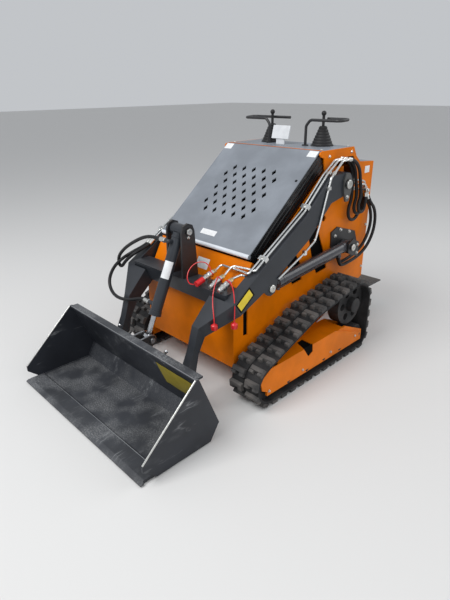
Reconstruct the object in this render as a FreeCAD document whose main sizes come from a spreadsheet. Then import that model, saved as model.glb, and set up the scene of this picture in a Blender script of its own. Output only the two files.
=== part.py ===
import FreeCAD, Part
import Sketcher
import math
import os
from FreeCAD import Placement, Rotation, Vector

os.makedirs("parts", exist_ok=True)
doc = FreeCAD.newDocument("MiniTrackLoader")

# Frame: +Z up, ground at Z 0, the bucket points to -Y, the machine's left is +X.
# Every size is in millimetres. Each group lists its sizes as alias, value.
SIZES = {
    # Body plates: half width of the inside, plate thickness and outline
    "plate_in": 350, "plate_thick": 7, "sheet": 6,
    "nose_back": -406, "nose_low": 161, "nose_fold_up": 480,
    "belly_rise": 300, "tail_back": 804, "tail_low": 350, "tail_up": 1092,
    "deck_front": 274, "deck_up": 1190, "deck_back": 570,
    "step_back": 650, "step_up": 1100, "step_drop_back": 605, "step_drop_up": 1135,
    # Front cover that opens as a hood
    "hood_half": 345, "hood_front": -282, "hood_front_up": 744,
    "hood_back": 259, "hood_back_up": 1190, "hood_sheet": 5, "skirt_deep": 95, "skirt_sheet": 4,
    "lip_round": 11, "hood_pin_back": 256, "hood_pin_up": 1174, "hood_pin": 5,
    # Field of diamond holes in the hood: row counts alternate between even and odd
    "grille_rows": 7, "grille_low": 212, "grille_step": 52, "grille_pitch": 74,
    "grille_wide": 28, "grille_tall": 44, "grille_short": 5,
    # Lift arms: inner side, width, hinge and outline
    "arm_in": 374, "arm_wide": 60, "arm_wall": 8, "pivot_back": 397, "pivot_up": 1014,
    "pivot_eye": 62, "pivot_pin": 25, "pin_play": 0.05,
    "arm_end_front": -480, "arm_end_top": 572, "arm_end_under": 499, "arm_end_back": -433,
    "arm_bend_back": 60, "arm_bend_top": 898, "arm_bend_under": 768, "arm_bend_under_back": 88,
    "lug_back": -210, "lug_up": 576, "lug_eye": 40, "lug_pin": 16, "knee_back": -160, "knee_up": 624,
    "leg_in": 266, "leg_wide": 48, "leg_top_front": -600, "leg_top_up": 449,
    "leg_top_back": -560, "leg_top_under": 390, "foot_back": -672, "foot_up": 158,
    "foot_eye": 36, "foot_pin": 18,
    # Cross tube between the arms, with the two tall ears of the tilt cylinder
    "cross_front": -480, "cross_back": -370, "cross_top": 600, "cross_low": 508,
    "cross_low_front": -451, "cross_low_back": -412,
    "ear_in": 52, "ear_thick": 12, "ear_pin_back": -430, "ear_pin_up": 843, "ear_eye": 42, "ear_pin": 16,
    "ear_base_front": -478, "ear_base_back": -373,
    # Cylinders
    "barrel_round": 30, "rod_round": 16, "gland_round": 33, "eye_round": 26, "eye_wide": 34,
    "lift_port": 54, "lift_plate": 8, "lift_port_deep": 44, "lift_base_back": 496, "lift_base_up": 633, "lift_barrel_end": 638, "tail_eye_wide": 40,
    "tilt_rod_back": -680, "tilt_rod_up": 311, "tilt_barrel_end": 462, "tilt_rod_round": 15,
    "tilt_eye_wide": 44, "tilt_tail_wide": 92, "rod_play": 0.05,
    # Tracks
    "track_in": 383, "track_out": 568, "belt_thick": 32,
    "front_wheel_back": -335, "front_wheel_up": 130, "front_wheel_round": 130,
    "rear_wheel_back": 495, "rear_wheel_up": 92, "rear_wheel_round": 92,
    "drive_back": 425, "drive_up": 312, "drive_round": 160,
    "carrier_back": 40, "carrier_up": 340, "carrier_round": 68,
    "wheel_in": 430, "wheel_out": 530, "frame_in": 405, "frame_out": 555, "frame_wall": 12,
    "frame_low": 54, "frame_top": 210, "roller_round": 44, "roller_count": 4,
    "roller_first": -190, "roller_step": 160, "roller_play": 0.3, "axle_round": 14,
    "cover_thick": 6, "cover_low": 81, "cover_fold": 221, "cover_front": -421,
    "cover_fold_front": -345, "cover_fold_back": 217, "cover_back": 489, "cover_back_up": 118,
    "motor_round": 62, "cross_tube_round": 38, "cross_tube_up": 172,
    "cross_tube_first": -170, "cross_tube_second": 210,
    "lug_tall": 18, "lug_base": 46, "lug_tip": 30, "lug_pitch": 75, "groove": 12, "lug_sunk": 4,
    "wheel_hole": 22, "wheel_hole_ring": 82, "wheel_hole_count": 6,
    # Bucket and the plate that carries it
    "bucket_half": 550, "bucket_side": 8, "bucket_sheet": 8, "bucket_lip": -1145, "bucket_floor": 5,
    "bucket_heel": -752, "bucket_back": -697, "bucket_back_up": 87,
    "bucket_top": -809, "bucket_top_up": 361, "side_front_up": 98, "side_front_back": -1128,
    "edge_thick": 16, "edge_deep": 110, "top_bar": 38,
    "attach_half": 330, "attach_thick": 12, "attach_low": 105, "attach_up": 335,
    "clevis_gap": 27, "clevis_thick": 12, "hinge_gap": 5, "hinge_thick": 8,
    # Platform for the operator
    "step_half": 330, "step_front": 838, "step_end": 1143, "step_plate_up": 214, "step_plate": 8,
    "step_pin_back": 830, "step_pin_up": 232, "step_pin": 8, "step_bracket_in": 250, "step_bracket": 12,
    # Controls on the deck
    "boot_left": 192, "boot_right": -186, "boot_back": 492, "boot_round": 62, "boot_tall": 107,
    "boot_top": 18, "boot_folds": 7, "boot_fold_deep": 6, "stick": 8,
    "grip_up": 1330, "grip_tube": 8, "grip_deep": 90, "knob_up": 1364, "knob_round": 14,
    # Pipes on the arms and hoses
    "pipe": 6, "pipe_inner": 391, "pipe_outer": 413, "pipe_side": 441, "pipe_off": 15, "pipe_bend": 26,
    "hose": 9, "hose_turn": 128, "coupler": 13, "cap": 15, "port": 11,
    # Engine, one closed block
    "engine_half": 300, "engine_front": -200, "engine_back": 290, "engine_tall": 590,
}

sheet = doc.addObject("Spreadsheet::Sheet", "Sizes")
for row, (alias, value) in enumerate(SIZES.items(), start=1):
    sheet.set(f"A{row}", alias)
    sheet.set(f"B{row}", str(value))
    sheet.setAlias(f"B{row}", alias)
doc.recompute()


class Dim:
    """A length that knows its number and the expression that binds it to the sheet."""

    def __init__(self, value, text):
        self.value = float(value)
        self.text = text

    def __add__(self, other):
        other = as_dim(other)
        return Dim(self.value + other.value, f"({self.text} + {other.text})")

    def __sub__(self, other):
        other = as_dim(other)
        return Dim(self.value - other.value, f"({self.text} - {other.text})")

    def __mul__(self, other):
        other = as_dim(other)
        return Dim(self.value * other.value, f"({self.text} * {other.text})")

    def __neg__(self):
        return Dim(-self.value, f"(-1 * {self.text})")

    def __float__(self):
        return self.value


def as_dim(item):
    """A plain number becomes a Dim, a Dim stays what it is."""
    return item if isinstance(item, Dim) else Dim(item, f"({float(item)})")


class Sizes:
    """Every size of the sheet as an attribute: S.hood_half is a Dim."""

    def __getattr__(self, alias):
        return Dim(sheet.get(alias), f"Sizes.{alias}")


S = Sizes()
NODES = []


def keep(name, item):
    """Label a finished sub-part and put it on the list of files to write."""
    item.Label = name
    NODES.append(item)
    return item


def mirrored(sign, low, high):
    """The span from low to high on the left, or the same span on the right."""
    return (as_dim(low), as_dim(high)) if sign > 0 else (-as_dim(high), -as_dim(low))


# Plates and blocks: one padded sketch each, every corner bound to the sheet

ROLES = {"X": "YZ_Plane", "Y": "XZ_Plane", "Z": "XY_Plane"}


def sketch_on(body, name, normal, offset, loops):
    """A sketch with closed loops: lists of corners, or (centre, centre, radius) for a hole."""
    sketch = body.newObject("Sketcher::SketchObject", name)
    plane = [item for item in body.Origin.OriginFeatures if item.Role == ROLES[normal]][0]
    sketch.AttachmentSupport = [(plane, "")]
    sketch.MapMode = "FlatFace"
    sketch.setExpression("AttachmentOffset.Base.z", offset.text)

    def pin_point(index, place, across, up):
        for kind, length in (("DistanceX", across), ("DistanceY", up)):
            number = sketch.addConstraint(
                Sketcher.Constraint(kind, -1, 1, index, place, length.value))
            sketch.setExpression(f"Constraints[{number}]", length.text)

    for loop in loops:
        if isinstance(loop, tuple):
            across, up, radius = (as_dim(item) for item in loop)
            circle = Part.Circle(Vector(across.value, up.value, 0), Vector(0, 0, 1), radius.value)
            index = sketch.addGeometry(circle, False)
            pin_point(index, 3, across, up)
            number = sketch.addConstraint(Sketcher.Constraint("Radius", index, radius.value))
            sketch.setExpression(f"Constraints[{number}]", radius.text)
            continue
        corners = [(as_dim(across), as_dim(up)) for across, up in loop]
        spots = [Vector(across.value, up.value, 0) for across, up in corners]
        first = sketch.GeometryCount
        for here, there in zip(spots, spots[1:] + spots[:1]):
            sketch.addGeometry(Part.LineSegment(here, there), False)
        count = len(spots)
        for step in range(count):
            sketch.addConstraint(Sketcher.Constraint(
                "Coincident", first + step, 2, first + (step + 1) % count, 1))
        for step, (across, up) in enumerate(corners):
            pin_point(first + step, 1, across, up)
    return sketch


def plate(name, normal, span, loops, cuts=()):
    """A PartDesign body: the loops padded over the span along the normal, less the cuts.

    A cut is (span, loops) and goes right through its own span.
    """
    body = doc.addObject("PartDesign::Body", name)
    low, high = span
    along = -high if normal == "Y" else low
    sketch = sketch_on(body, name + "_outline", normal, along, loops)
    pad = body.newObject("PartDesign::Pad", name + "_pad")
    pad.Profile = sketch
    pad.setExpression("Length", (high - low).text)
    doc.recompute()
    for number, (cut_span, cut_loops) in enumerate(cuts, start=1):
        before = body.Shape.Volume
        cut_low, cut_high = cut_span
        start = -cut_low if normal == "Y" else cut_high
        sketch = sketch_on(body, f"{name}_cut_outline{number}", normal, start, cut_loops)
        pocket = body.newObject("PartDesign::Pocket", f"{name}_cut{number}")
        pocket.Profile = sketch
        pocket.setExpression("Length", (cut_high - cut_low).text)
        doc.recompute()
        if body.Shape.Volume >= before:
            raise RuntimeError(f"{name}: cut {number} takes nothing away")
    return body


def bar(name, start, end, radius):
    """A round bar along X between two X places: start is (x, y, z), end is x."""
    item = doc.addObject("Part::Cylinder", name)
    item.setExpression("Radius", as_dim(radius).text)
    item.setExpression("Height", (as_dim(end) - start[0]).text)
    item.Placement = Placement(Vector(0, 0, 0), Rotation(Vector(0, 1, 0), 90))
    for axis, length in zip("xyz", start):
        item.setExpression(f"Placement.Base.{axis}", as_dim(length).text)
    return item


def block(name, low, high):
    """A box between two corners, each corner three lengths."""
    item = doc.addObject("Part::Box", name)
    for axis, side, start, end in zip("xyz", ("Length", "Width", "Height"), low, high):
        item.setExpression(side, (as_dim(end) - start).text)
        item.setExpression(f"Placement.Base.{axis}", as_dim(start).text)
    return item


def fuse(name, items):
    """Several shapes joined to one sub-part."""
    item = doc.addObject("Part::MultiFuse", name)
    item.Shapes = list(items)
    item.Refine = True
    return item


def cut(name, base, tool):
    """One shape less another."""
    item = doc.addObject("Part::Cut", name)
    item.Base = base
    item.Tool = tool
    return item


def solid(name, shape):
    """A shape made with Part's own functions, held by a plain feature."""
    item = doc.addObject("Part::Feature", name)
    item.Shape = shape
    return item


# Shapes made with Part's own functions

def rod_between(start, end, radius):
    """A round bar from one point to another."""
    start, end = Vector(*start), Vector(*end)
    return Part.makeCylinder(float(radius), (end - start).Length, start, end - start)


def along(start, end, distance):
    """The point that lies the distance from start towards end."""
    start, end = Vector(*start), Vector(*end)
    return start + (end - start).normalize() * float(distance)


def belt_loop(wheels, inset, low, high):
    """A closed loop drawn tight round the wheels, given as (y, z, radius), padded along X.

    The inset makes every radius that much smaller.
    """
    count = len(wheels)
    edges = []
    tangents = []
    for step in range(count):
        (y0, z0, r0), (y1, z1, r1) = wheels[step], wheels[(step + 1) % count]
        r0, r1 = r0 - inset, r1 - inset
        reach = math.hypot(y1 - y0, z1 - z0)
        heading = math.atan2(z1 - z0, y1 - y0)
        side = heading - math.pi / 2 + math.asin((r1 - r0) / reach) * -1
        tangents.append((Vector(low, y0 + r0 * math.cos(side), z0 + r0 * math.sin(side)),
                         Vector(low, y1 + r1 * math.cos(side), z1 + r1 * math.sin(side)), side))
    for step in range(count):
        start, end, side = tangents[step]
        edges.append(Part.LineSegment(start, end).toShape())
        next_start, _, next_side = tangents[(step + 1) % count]
        y1, z1, r1 = wheels[(step + 1) % count]
        turn = (next_side - side) % (2 * math.pi)
        middle = side + turn / 2
        mid_point = Vector(low, y1 + (r1 - inset) * math.cos(middle), z1 + (r1 - inset) * math.sin(middle))
        edges.append(Part.Arc(end, mid_point, next_start).toShape())
    return Part.Face(Part.Wire(edges)).extrude(Vector(high - low, 0, 0))


def loop_runs(wheels, inset):
    """The loop's runs in order: ("line", start, end) and ("arc", centre, radius, from, turn)."""
    count = len(wheels)
    sides = []
    for (y0, z0, r0), (y1, z1, r1) in zip(wheels, wheels[1:] + wheels[:1]):
        reach = math.hypot(y1 - y0, z1 - z0)
        sides.append(math.atan2(z1 - z0, y1 - y0) - math.pi / 2 - math.asin((r1 - r0) / reach))
    runs = []
    for step in range(count):
        (y0, z0, r0), (y1, z1, r1) = wheels[step], wheels[(step + 1) % count]
        r0, r1, side = r0 - inset, r1 - inset, sides[step]
        start = (y0 + r0 * math.cos(side), z0 + r0 * math.sin(side))
        end = (y1 + r1 * math.cos(side), z1 + r1 * math.sin(side))
        runs.append(("line", start, end))
        runs.append(("arc", (y1, z1), r1, side, (sides[(step + 1) % count] - side) % (2 * math.pi)))
    return runs


def run_length(run):
    """How long one run of the loop is."""
    if run[0] == "line":
        return math.hypot(run[2][0] - run[1][0], run[2][1] - run[1][1])
    return run[2] * run[4]


def place_on(runs, distance):
    """(y, z, angle of the outward normal) at a distance along the loop."""
    distance %= sum(run_length(run) for run in runs)
    for run in runs:
        length = run_length(run)
        if distance <= length:
            break
        distance -= length
    if run[0] == "line":
        (y0, z0), (y1, z1) = run[1], run[2]
        share = distance / length
        heading = math.atan2(z1 - z0, y1 - y0)
        return y0 + share * (y1 - y0), z0 + share * (z1 - z0), heading - math.pi / 2
    angle = run[3] + distance / run[2]
    return run[1][0] + run[2] * math.cos(angle), run[1][1] + run[2] * math.sin(angle), angle


def track_lug(place, low, high):
    """One tapered lug that stands on the belt at a place of the loop, between two X places."""
    y, z, angle = place
    out = Vector(0, math.cos(angle), math.sin(angle))
    ahead = Vector(0, -math.sin(angle), math.cos(angle))
    foot = Vector(low, y, z) - out * float(S.lug_sunk)
    tip = Vector(low, y, z) + out * float(S.lug_tall)
    half_base, half_tip = float(S.lug_base) / 2, float(S.lug_tip) / 2
    corners = [foot - ahead * half_base, foot + ahead * half_base, tip + ahead * half_tip, tip - ahead * half_tip]
    return Part.Face(Part.makePolygon(corners + corners[:1])).extrude(Vector(high - low, 0, 0))


def track_loop(wheels):
    """The left track: a belt with two staggered rows of lugs and a groove between the rows."""
    low, high = float(S.track_in), float(S.track_out)
    tall, thick = float(S.lug_tall), float(S.belt_thick)
    belt = belt_loop(wheels, tall, low, high).cut(belt_loop(wheels, thick, low - 1, high + 1))
    runs = loop_runs(wheels, tall)
    length = sum(run_length(run) for run in runs)
    count = round(length / float(S.lug_pitch))
    row_end = (low + high - float(S.groove)) / 2
    lugs = []
    for step in range(count):
        lugs.append(track_lug(place_on(runs, length * step / count), low, row_end))
        lugs.append(track_lug(place_on(runs, length * (step + 0.5) / count), low + high - row_end, high))
    return belt.fuse(lugs).removeSplitter()


def bent_path(points, bend):
    """Straight runs joined by tangent arcs of the bend radius, or less where a run is short."""
    points = [Vector(*point) for point in points]
    edges = []
    last = points[0]
    for before, corner, after in zip(points, points[1:], points[2:]):
        into = (corner - before).normalize()
        out = (after - corner).normalize()
        turn = into.getAngle(out)
        limit = 0.45 * min((corner - before).Length, (after - corner).Length)
        reach = min(bend * math.tan(turn / 2), limit)
        radius = reach / math.tan(turn / 2)
        start = corner - into * reach
        end = corner + out * reach
        inward = (out - into).normalize()
        middle = corner + inward * (radius / math.cos(turn / 2) - radius)
        edges.append(Part.LineSegment(last, start).toShape())
        edges.append(Part.Arc(start, middle, end).toShape())
        last = end
    edges.append(Part.LineSegment(last, points[-1]).toShape())
    return Part.Wire(edges)


def tube_along(points, radius, bend):
    """A round tube that follows the bent path."""
    path = bent_path(points, bend)
    heading = Vector(*points[1]) - Vector(*points[0])
    ring = Part.Wire([Part.makeCircle(float(radius), Vector(*points[0]), heading)])
    return path.makePipeShell([ring], True, True)


SIDES = (("left", 1), ("right", -1))

# Body: two side plates, nose, belly, tail, deck and the engine inside

hood_run = math.hypot(float(S.hood_back - S.hood_front), float(S.hood_back_up - S.hood_front_up))
hood_along = (float(S.hood_back - S.hood_front) / hood_run, float(S.hood_back_up - S.hood_front_up) / hood_run)
skirt_shift = (S.skirt_deep * hood_along[1], S.skirt_deep * hood_along[0])
skirt_front = (S.hood_front + skirt_shift[0], S.hood_front_up - skirt_shift[1])
skirt_back = (S.hood_back + 27, S.hood_back_up - 101)

side_outline = [
    (S.nose_back, S.nose_low), (S.belly_rise, S.nose_low), (S.tail_back, S.tail_low),
    (S.tail_back, S.tail_up - 4), (S.step_back, S.step_up), (S.step_drop_back, S.step_drop_up),
    (S.deck_back, S.deck_up), (S.deck_front, S.deck_up),
    (S.hood_pin_back - 4, S.hood_pin_up + 12), (S.hood_pin_back - 13, S.hood_pin_up - 1),
    (S.hood_pin_back - 4, S.hood_pin_up - 12), (S.hood_pin_back + 26, S.hood_pin_up - 22),
    (skirt_back[0] + 12, skirt_back[1] - 6),
    (skirt_front[0] + 6, skirt_front[1] - 9), (S.hood_front + 8, S.hood_front_up - 34),
    (S.nose_back, S.nose_fold_up),
]
nose_slot = [(-335, 322), (-303, 322), (-303, 472), (-335, 472)]
pipe_arch = [(480, 930), (590, 930), (600, 1105), (570, 1140), (400, 1140), (352, 1100), (480, 1092)]
vents = [
    [(166, 800), (254, 806), (339, 632), (384, 512), (282, 500), (225, 622)],
    [(2, 652), (84, 660), (127, 599), (144, 504), (56, 498), (19, 588)],
]
for side, sign in SIDES:
    span = mirrored(sign, S.plate_in, S.plate_in + S.plate_thick)
    through = mirrored(sign, S.plate_in - 1, S.plate_in + S.plate_thick + 1)
    openings = [nose_slot, pipe_arch, (S.pivot_back - 76, S.pivot_up - 192, 17)] + vents
    body = plate(f"side_plate_{side}", "X", span, [side_outline], [(through, openings)])
    keep(f"side_plate_{side}", body)

inside = (-S.plate_in, S.plate_in)
nose = plate("nose_panel", "X", inside, [[
    (S.nose_back, S.nose_low), (S.nose_back + S.sheet, S.nose_low),
    (S.nose_back + S.sheet, S.nose_fold_up - 2), (S.hood_front + 8, S.hood_front_up - 46),
    (S.hood_front + 8, S.hood_front_up - 34), (S.nose_back, S.nose_fold_up)]])
keep("nose_panel", nose)
belly = plate("belly_pan", "X", inside, [[
    (S.nose_back + S.sheet, S.nose_low), (S.belly_rise, S.nose_low),
    (S.tail_back, S.tail_low), (S.tail_back, S.tail_low + 8),
    (S.belly_rise - 2, S.nose_low + 8), (S.nose_back + S.sheet, S.nose_low + 8)]])
keep("belly_pan", belly)
tail = plate("tail_panel", "Y", (S.tail_back - S.sheet, S.tail_back), [[
    (-S.plate_in, S.tail_low + 8), (S.plate_in, S.tail_low + 8),
    (S.plate_in, S.tail_up - 10), (-S.plate_in, S.tail_up - 10)]])
keep("tail_panel", tail)
deck = plate("deck_cover", "X", inside, [[
    (S.deck_front, S.deck_up), (S.deck_front, S.deck_up - S.sheet), (S.deck_back - 3, S.deck_up - S.sheet),
    (S.step_drop_back - 6, S.step_drop_up - 3), (S.step_back - 3, S.step_up - S.sheet),
    (S.tail_back, S.tail_up - 10), (S.tail_back, S.tail_up - 4), (S.step_back, S.step_up),
    (S.step_drop_back, S.step_drop_up), (S.deck_back, S.deck_up)]])
keep("deck_cover", deck)
engine = block("engine_block", (-S.engine_half, S.engine_front, S.nose_low + 8),
               (S.engine_half, S.engine_back, S.nose_low + 8 + S.engine_tall))
keep("engine_block", engine)

# Hood: sloping sheet with a rolled lip, and a dark skirt down each side

hood_sheet_shift = (S.hood_sheet * hood_along[1], S.hood_sheet * hood_along[0])
hood_panel = plate("hood_sheet_body", "X", (-S.hood_half, S.hood_half), [[
    (S.hood_front, S.hood_front_up), (S.hood_back, S.hood_back_up),
    (S.hood_back + hood_sheet_shift[0], S.hood_back_up - hood_sheet_shift[1]),
    (S.hood_front + hood_sheet_shift[0], S.hood_front_up - hood_sheet_shift[1])]])
hood_normal = Vector(0, -hood_along[1], hood_along[0])
hood_up = Vector(0, hood_along[0], hood_along[1])
hood_edge = Vector(0, float(S.hood_front), float(S.hood_front_up))


def grille_hole(across, up):
    """A four-cornered cutter through the hood's sheet, its centre given on the slope."""
    half_wide, half_tall = float(S.grille_wide) / 2, float(S.grille_tall) / 2
    middle = hood_edge + hood_up * up + Vector(across, 0, 0) - hood_normal * 10
    corners = [middle + hood_up * half_tall, middle + Vector(half_wide, 0, 0),
               middle - hood_up * half_tall, middle - Vector(half_wide, 0, 0)]
    return Part.Face(Part.makePolygon(corners + corners[:1])).extrude(hood_normal * 20)


grille = []
for row in range(int(float(S.grille_rows))):
    count = int(float(S.grille_short)) + row % 2
    up = float(S.grille_low) + row * float(S.grille_step)
    for column in range(count):
        grille.append(grille_hole((column - (count - 1) / 2) * float(S.grille_pitch), up))
hood_panel = cut("hood_pierced", hood_panel, solid("grille_holes", Part.makeCompound(grille)))
hood_lip = bar("hood_lip", (-S.hood_half, S.hood_front + 2, S.hood_front_up - 8), S.hood_half, S.lip_round)
keep("hood_cover", fuse("hood_cover_joined", [hood_panel, hood_lip]))
skirts = []
for side, sign in SIDES:
    span = mirrored(sign, S.hood_half - S.skirt_sheet, S.hood_half)
    top_shift = (hood_sheet_shift[0], -hood_sheet_shift[1])
    skirts.append(plate(f"skirt_{side}", "X", span, [[
        (S.hood_front + top_shift[0] + 14 * hood_along[0], S.hood_front_up + top_shift[1] + 14 * hood_along[1]),
        (S.hood_back + top_shift[0], S.hood_back_up + top_shift[1]),
        (skirt_back[0], skirt_back[1]), (skirt_front[0], skirt_front[1]),
        (S.hood_front + 14, S.hood_front_up - 26)],
        (S.hood_pin_back, S.hood_pin_up, S.hood_pin + S.pin_play)]))
keep("hood_skirts", fuse("hood_skirts_joined", skirts))
hood_pins = []
for side, sign in SIDES:
    pin_span = mirrored(sign, S.hood_half - S.skirt_sheet - 6, S.plate_in)
    hood_pins.append(bar(f"hood_pin_{side}", (pin_span[0], S.hood_pin_back, S.hood_pin_up), pin_span[1], S.hood_pin))
keep("hood_hinge_pins", fuse("hood_hinge_pins_joined", hood_pins))

# Lift arms, mirrored: upper box, knee lug, flared lower box and leg

pivot = (S.pivot_back, S.pivot_up)
foot = (S.foot_back, S.foot_up)
lug = (S.lug_back, S.lug_up)
arm_outline = [
    (S.arm_end_back, S.arm_end_under), (S.lug_back - 56, S.lug_up - 6), (S.lug_back - 30, S.lug_up - 30),
    (S.lug_back - 5, S.lug_up - S.lug_eye), (S.lug_back + 25, S.lug_up - 31), (S.lug_back + 40, S.lug_up),
    (S.knee_back, S.knee_up), (S.arm_bend_under_back, S.arm_bend_under),
    (S.pivot_back - 129, S.pivot_up - 86), (S.pivot_back, S.pivot_up - S.pivot_eye),
    (S.pivot_back, S.pivot_up + S.pivot_eye), (S.pivot_back - 147, S.pivot_up + 56),
    (S.arm_bend_back, S.arm_bend_top), (S.arm_end_front, S.arm_end_top),
]
# The rod's eye lies between the two walls of the lug, open to below
lug_room = [
    (S.lug_back - 70, S.lug_up - 60), (S.lug_back + 70, S.lug_up - 60), (S.lug_back + 70, S.lug_up + 60),
    (S.lug_back - 10, S.lug_up + 74), (S.lug_back - 70, S.lug_up + 46),
]


def arm_foot_box(sign):
    """The flared lower box of an arm, from the cross tube's height down to the leg."""
    inner = float(S.leg_in)
    leg_outer = inner + float(S.leg_wide)
    arm_outer = float(S.arm_in + S.arm_wide)
    top = (float(S.arm_end_front), float(S.arm_end_top))
    back = (float(S.arm_end_back), float(S.arm_end_under))
    leg_top = (float(S.leg_top_front), float(S.leg_top_up))
    leg_under = (float(S.leg_top_back), float(S.leg_top_under))
    upper = [(inner, *back), (inner, *top), (arm_outer, *top), (arm_outer, *back)]
    lower = [(inner, *leg_under), (inner, *leg_top), (leg_outer, *leg_top), (leg_outer, *leg_under)]
    rings = []
    for ring in (upper, lower):
        ring = [Vector(sign * x, y, z) for x, y, z in ring]
        rings.append(Part.makePolygon(ring + ring[:1]))
    return Part.makeLoft(rings, True, True)


pivots = []
for side, sign in SIDES:
    beam_span = mirrored(sign, S.arm_in, S.arm_in + S.arm_wide)
    room_span = mirrored(sign, S.arm_in + S.arm_wall, S.arm_in + S.arm_wide - S.arm_wall)
    through = mirrored(sign, S.arm_in - 1, S.arm_in + S.arm_wide + 1)
    beam = plate(f"arm_beam_{side}", "X", beam_span, [arm_outline], [(room_span, [lug_room])])
    eye = bar(f"arm_eye_{side}", (beam_span[0], *pivot), beam_span[1], S.pivot_eye)
    knee = solid(f"arm_flare_{side}", arm_foot_box(sign))
    leg_span = mirrored(sign, S.leg_in, S.leg_in + S.leg_wide)
    leg = plate(f"arm_leg_{side}", "X", leg_span, [[
        (S.leg_top_back, S.leg_top_under), (S.foot_back + 68, S.foot_up + 152),
        (S.foot_back + 48, S.foot_up + 67), (S.foot_back + 36, S.foot_up), (S.foot_back + 16, S.foot_up - 32),
        (S.foot_back - 14, S.foot_up - 33), (S.foot_back - 34, S.foot_up - 6),
        (S.foot_back - 30, S.foot_up + 30), (S.foot_back + 6, S.foot_up + 112),
        (S.foot_back + 33, S.foot_up + 170), (S.leg_top_front, S.leg_top_up)]])
    whole = fuse(f"arm_joined_{side}", [beam, eye, knee, leg])
    pivot_hole = bar(f"arm_pivot_hole_{side}", (through[0], *pivot), through[1], S.pivot_pin)
    foot_hole = bar(f"arm_foot_hole_{side}", (mirrored(sign, S.leg_in - 1, S.leg_in + S.leg_wide + 1)[0], *foot),
                    mirrored(sign, S.leg_in - 1, S.leg_in + S.leg_wide + 1)[1], S.foot_pin)
    holes = fuse(f"arm_holes_{side}", [pivot_hole, foot_hole])
    keep(f"arm_{side}", cut(f"arm_drilled_{side}", whole, holes))
    # Pivot pin on the side plate, through the arm, with a wide boss behind it
    boss_span = mirrored(sign, S.plate_in + S.plate_thick, S.arm_in - 5)
    pin_span = mirrored(sign, S.arm_in - 5, S.arm_in + S.arm_wide + 18)
    boss = bar(f"pivot_boss_{side}", (boss_span[0], *pivot), boss_span[1], 46)
    pin = bar(f"pivot_pin_{side}", (pin_span[0], *pivot), pin_span[1], S.pivot_pin - S.pin_play)
    pivots += [boss, pin]
keep("arm_pivots", fuse("arm_pivots_joined", pivots))

# Oval keeper plates on the arms' outer faces, turning with them
keepers = []
for side, sign in SIDES:
    span = mirrored(sign, S.arm_in + S.arm_wide, S.arm_in + S.arm_wide + 10)
    keepers.append(plate(f"keeper_{side}", "X", span, [[
        (S.pivot_back - 34, S.pivot_up + 22), (S.pivot_back - 12, S.pivot_up + 58),
        (S.pivot_back + 14, S.pivot_up + 58), (S.pivot_back + 38, S.pivot_up + 20),
        (S.pivot_back + 42, S.pivot_up - 40), (S.pivot_back + 20, S.pivot_up - 96),
        (S.pivot_back - 8, S.pivot_up - 96), (S.pivot_back - 30, S.pivot_up - 40)],
        (S.pivot_back, S.pivot_up, S.pivot_pin)]))
keep("arm_keepers", fuse("arm_keepers_joined", keepers))

cross = plate("cross_tube_box", "X", (-S.arm_in, S.arm_in), [[
    (S.cross_low_front, S.cross_low), (S.cross_low_back, S.cross_low), (S.cross_back, S.cross_top - 8),
    (S.cross_back, S.cross_top), (S.cross_front, S.cross_top)]])
flare_tools = [solid(f"cross_notch_{side}", arm_foot_box(sign)) for side, sign in SIDES]
keep("cross_tube", cut("cross_tube_fitted", cross, fuse("cross_notches", flare_tools)))

ears = []
for side, sign in SIDES:
    span = mirrored(sign, S.ear_in, S.ear_in + S.ear_thick)
    ears.append(plate(f"ear_{side}", "X", span, [[
        (S.ear_base_front, S.cross_top), (S.ear_base_back, S.cross_top),
        (S.ear_pin_back + S.ear_eye, S.ear_pin_up), (S.ear_pin_back + 30, S.ear_pin_up + 30),
        (S.ear_pin_back, S.ear_pin_up + S.ear_eye), (S.ear_pin_back - 30, S.ear_pin_up + 30),
        (S.ear_pin_back - S.ear_eye, S.ear_pin_up)]]))
ear_pin = bar("ear_pin", (-S.ear_in - S.ear_thick - 8, S.ear_pin_back, S.ear_pin_up),
              S.ear_in + S.ear_thick + 8, S.ear_pin)
keep("tilt_ears", fuse("tilt_ears_joined", ears + [ear_pin]))

# Lift cylinders: bracket and pin on the body, barrel, and rod that slides in it

lift_base = (float(S.lift_base_back), float(S.lift_base_up))
lift_tip = (float(S.lug_back), float(S.lug_up))
lift_reach = math.hypot(lift_tip[0] - lift_base[0], lift_tip[1] - lift_base[1])
arm_middle = float(S.arm_in + S.arm_wide * 0.5)


def lift_port_end(sign):
    """Where a lift barrel's port ends, below the barrel near its foot."""
    root = along((sign * arm_middle, *lift_base), (sign * arm_middle, *lift_tip), S.lift_port)
    return Vector(sign * float(S.pipe_inner), root.y, root.z - float(S.lift_port_deep))


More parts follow.
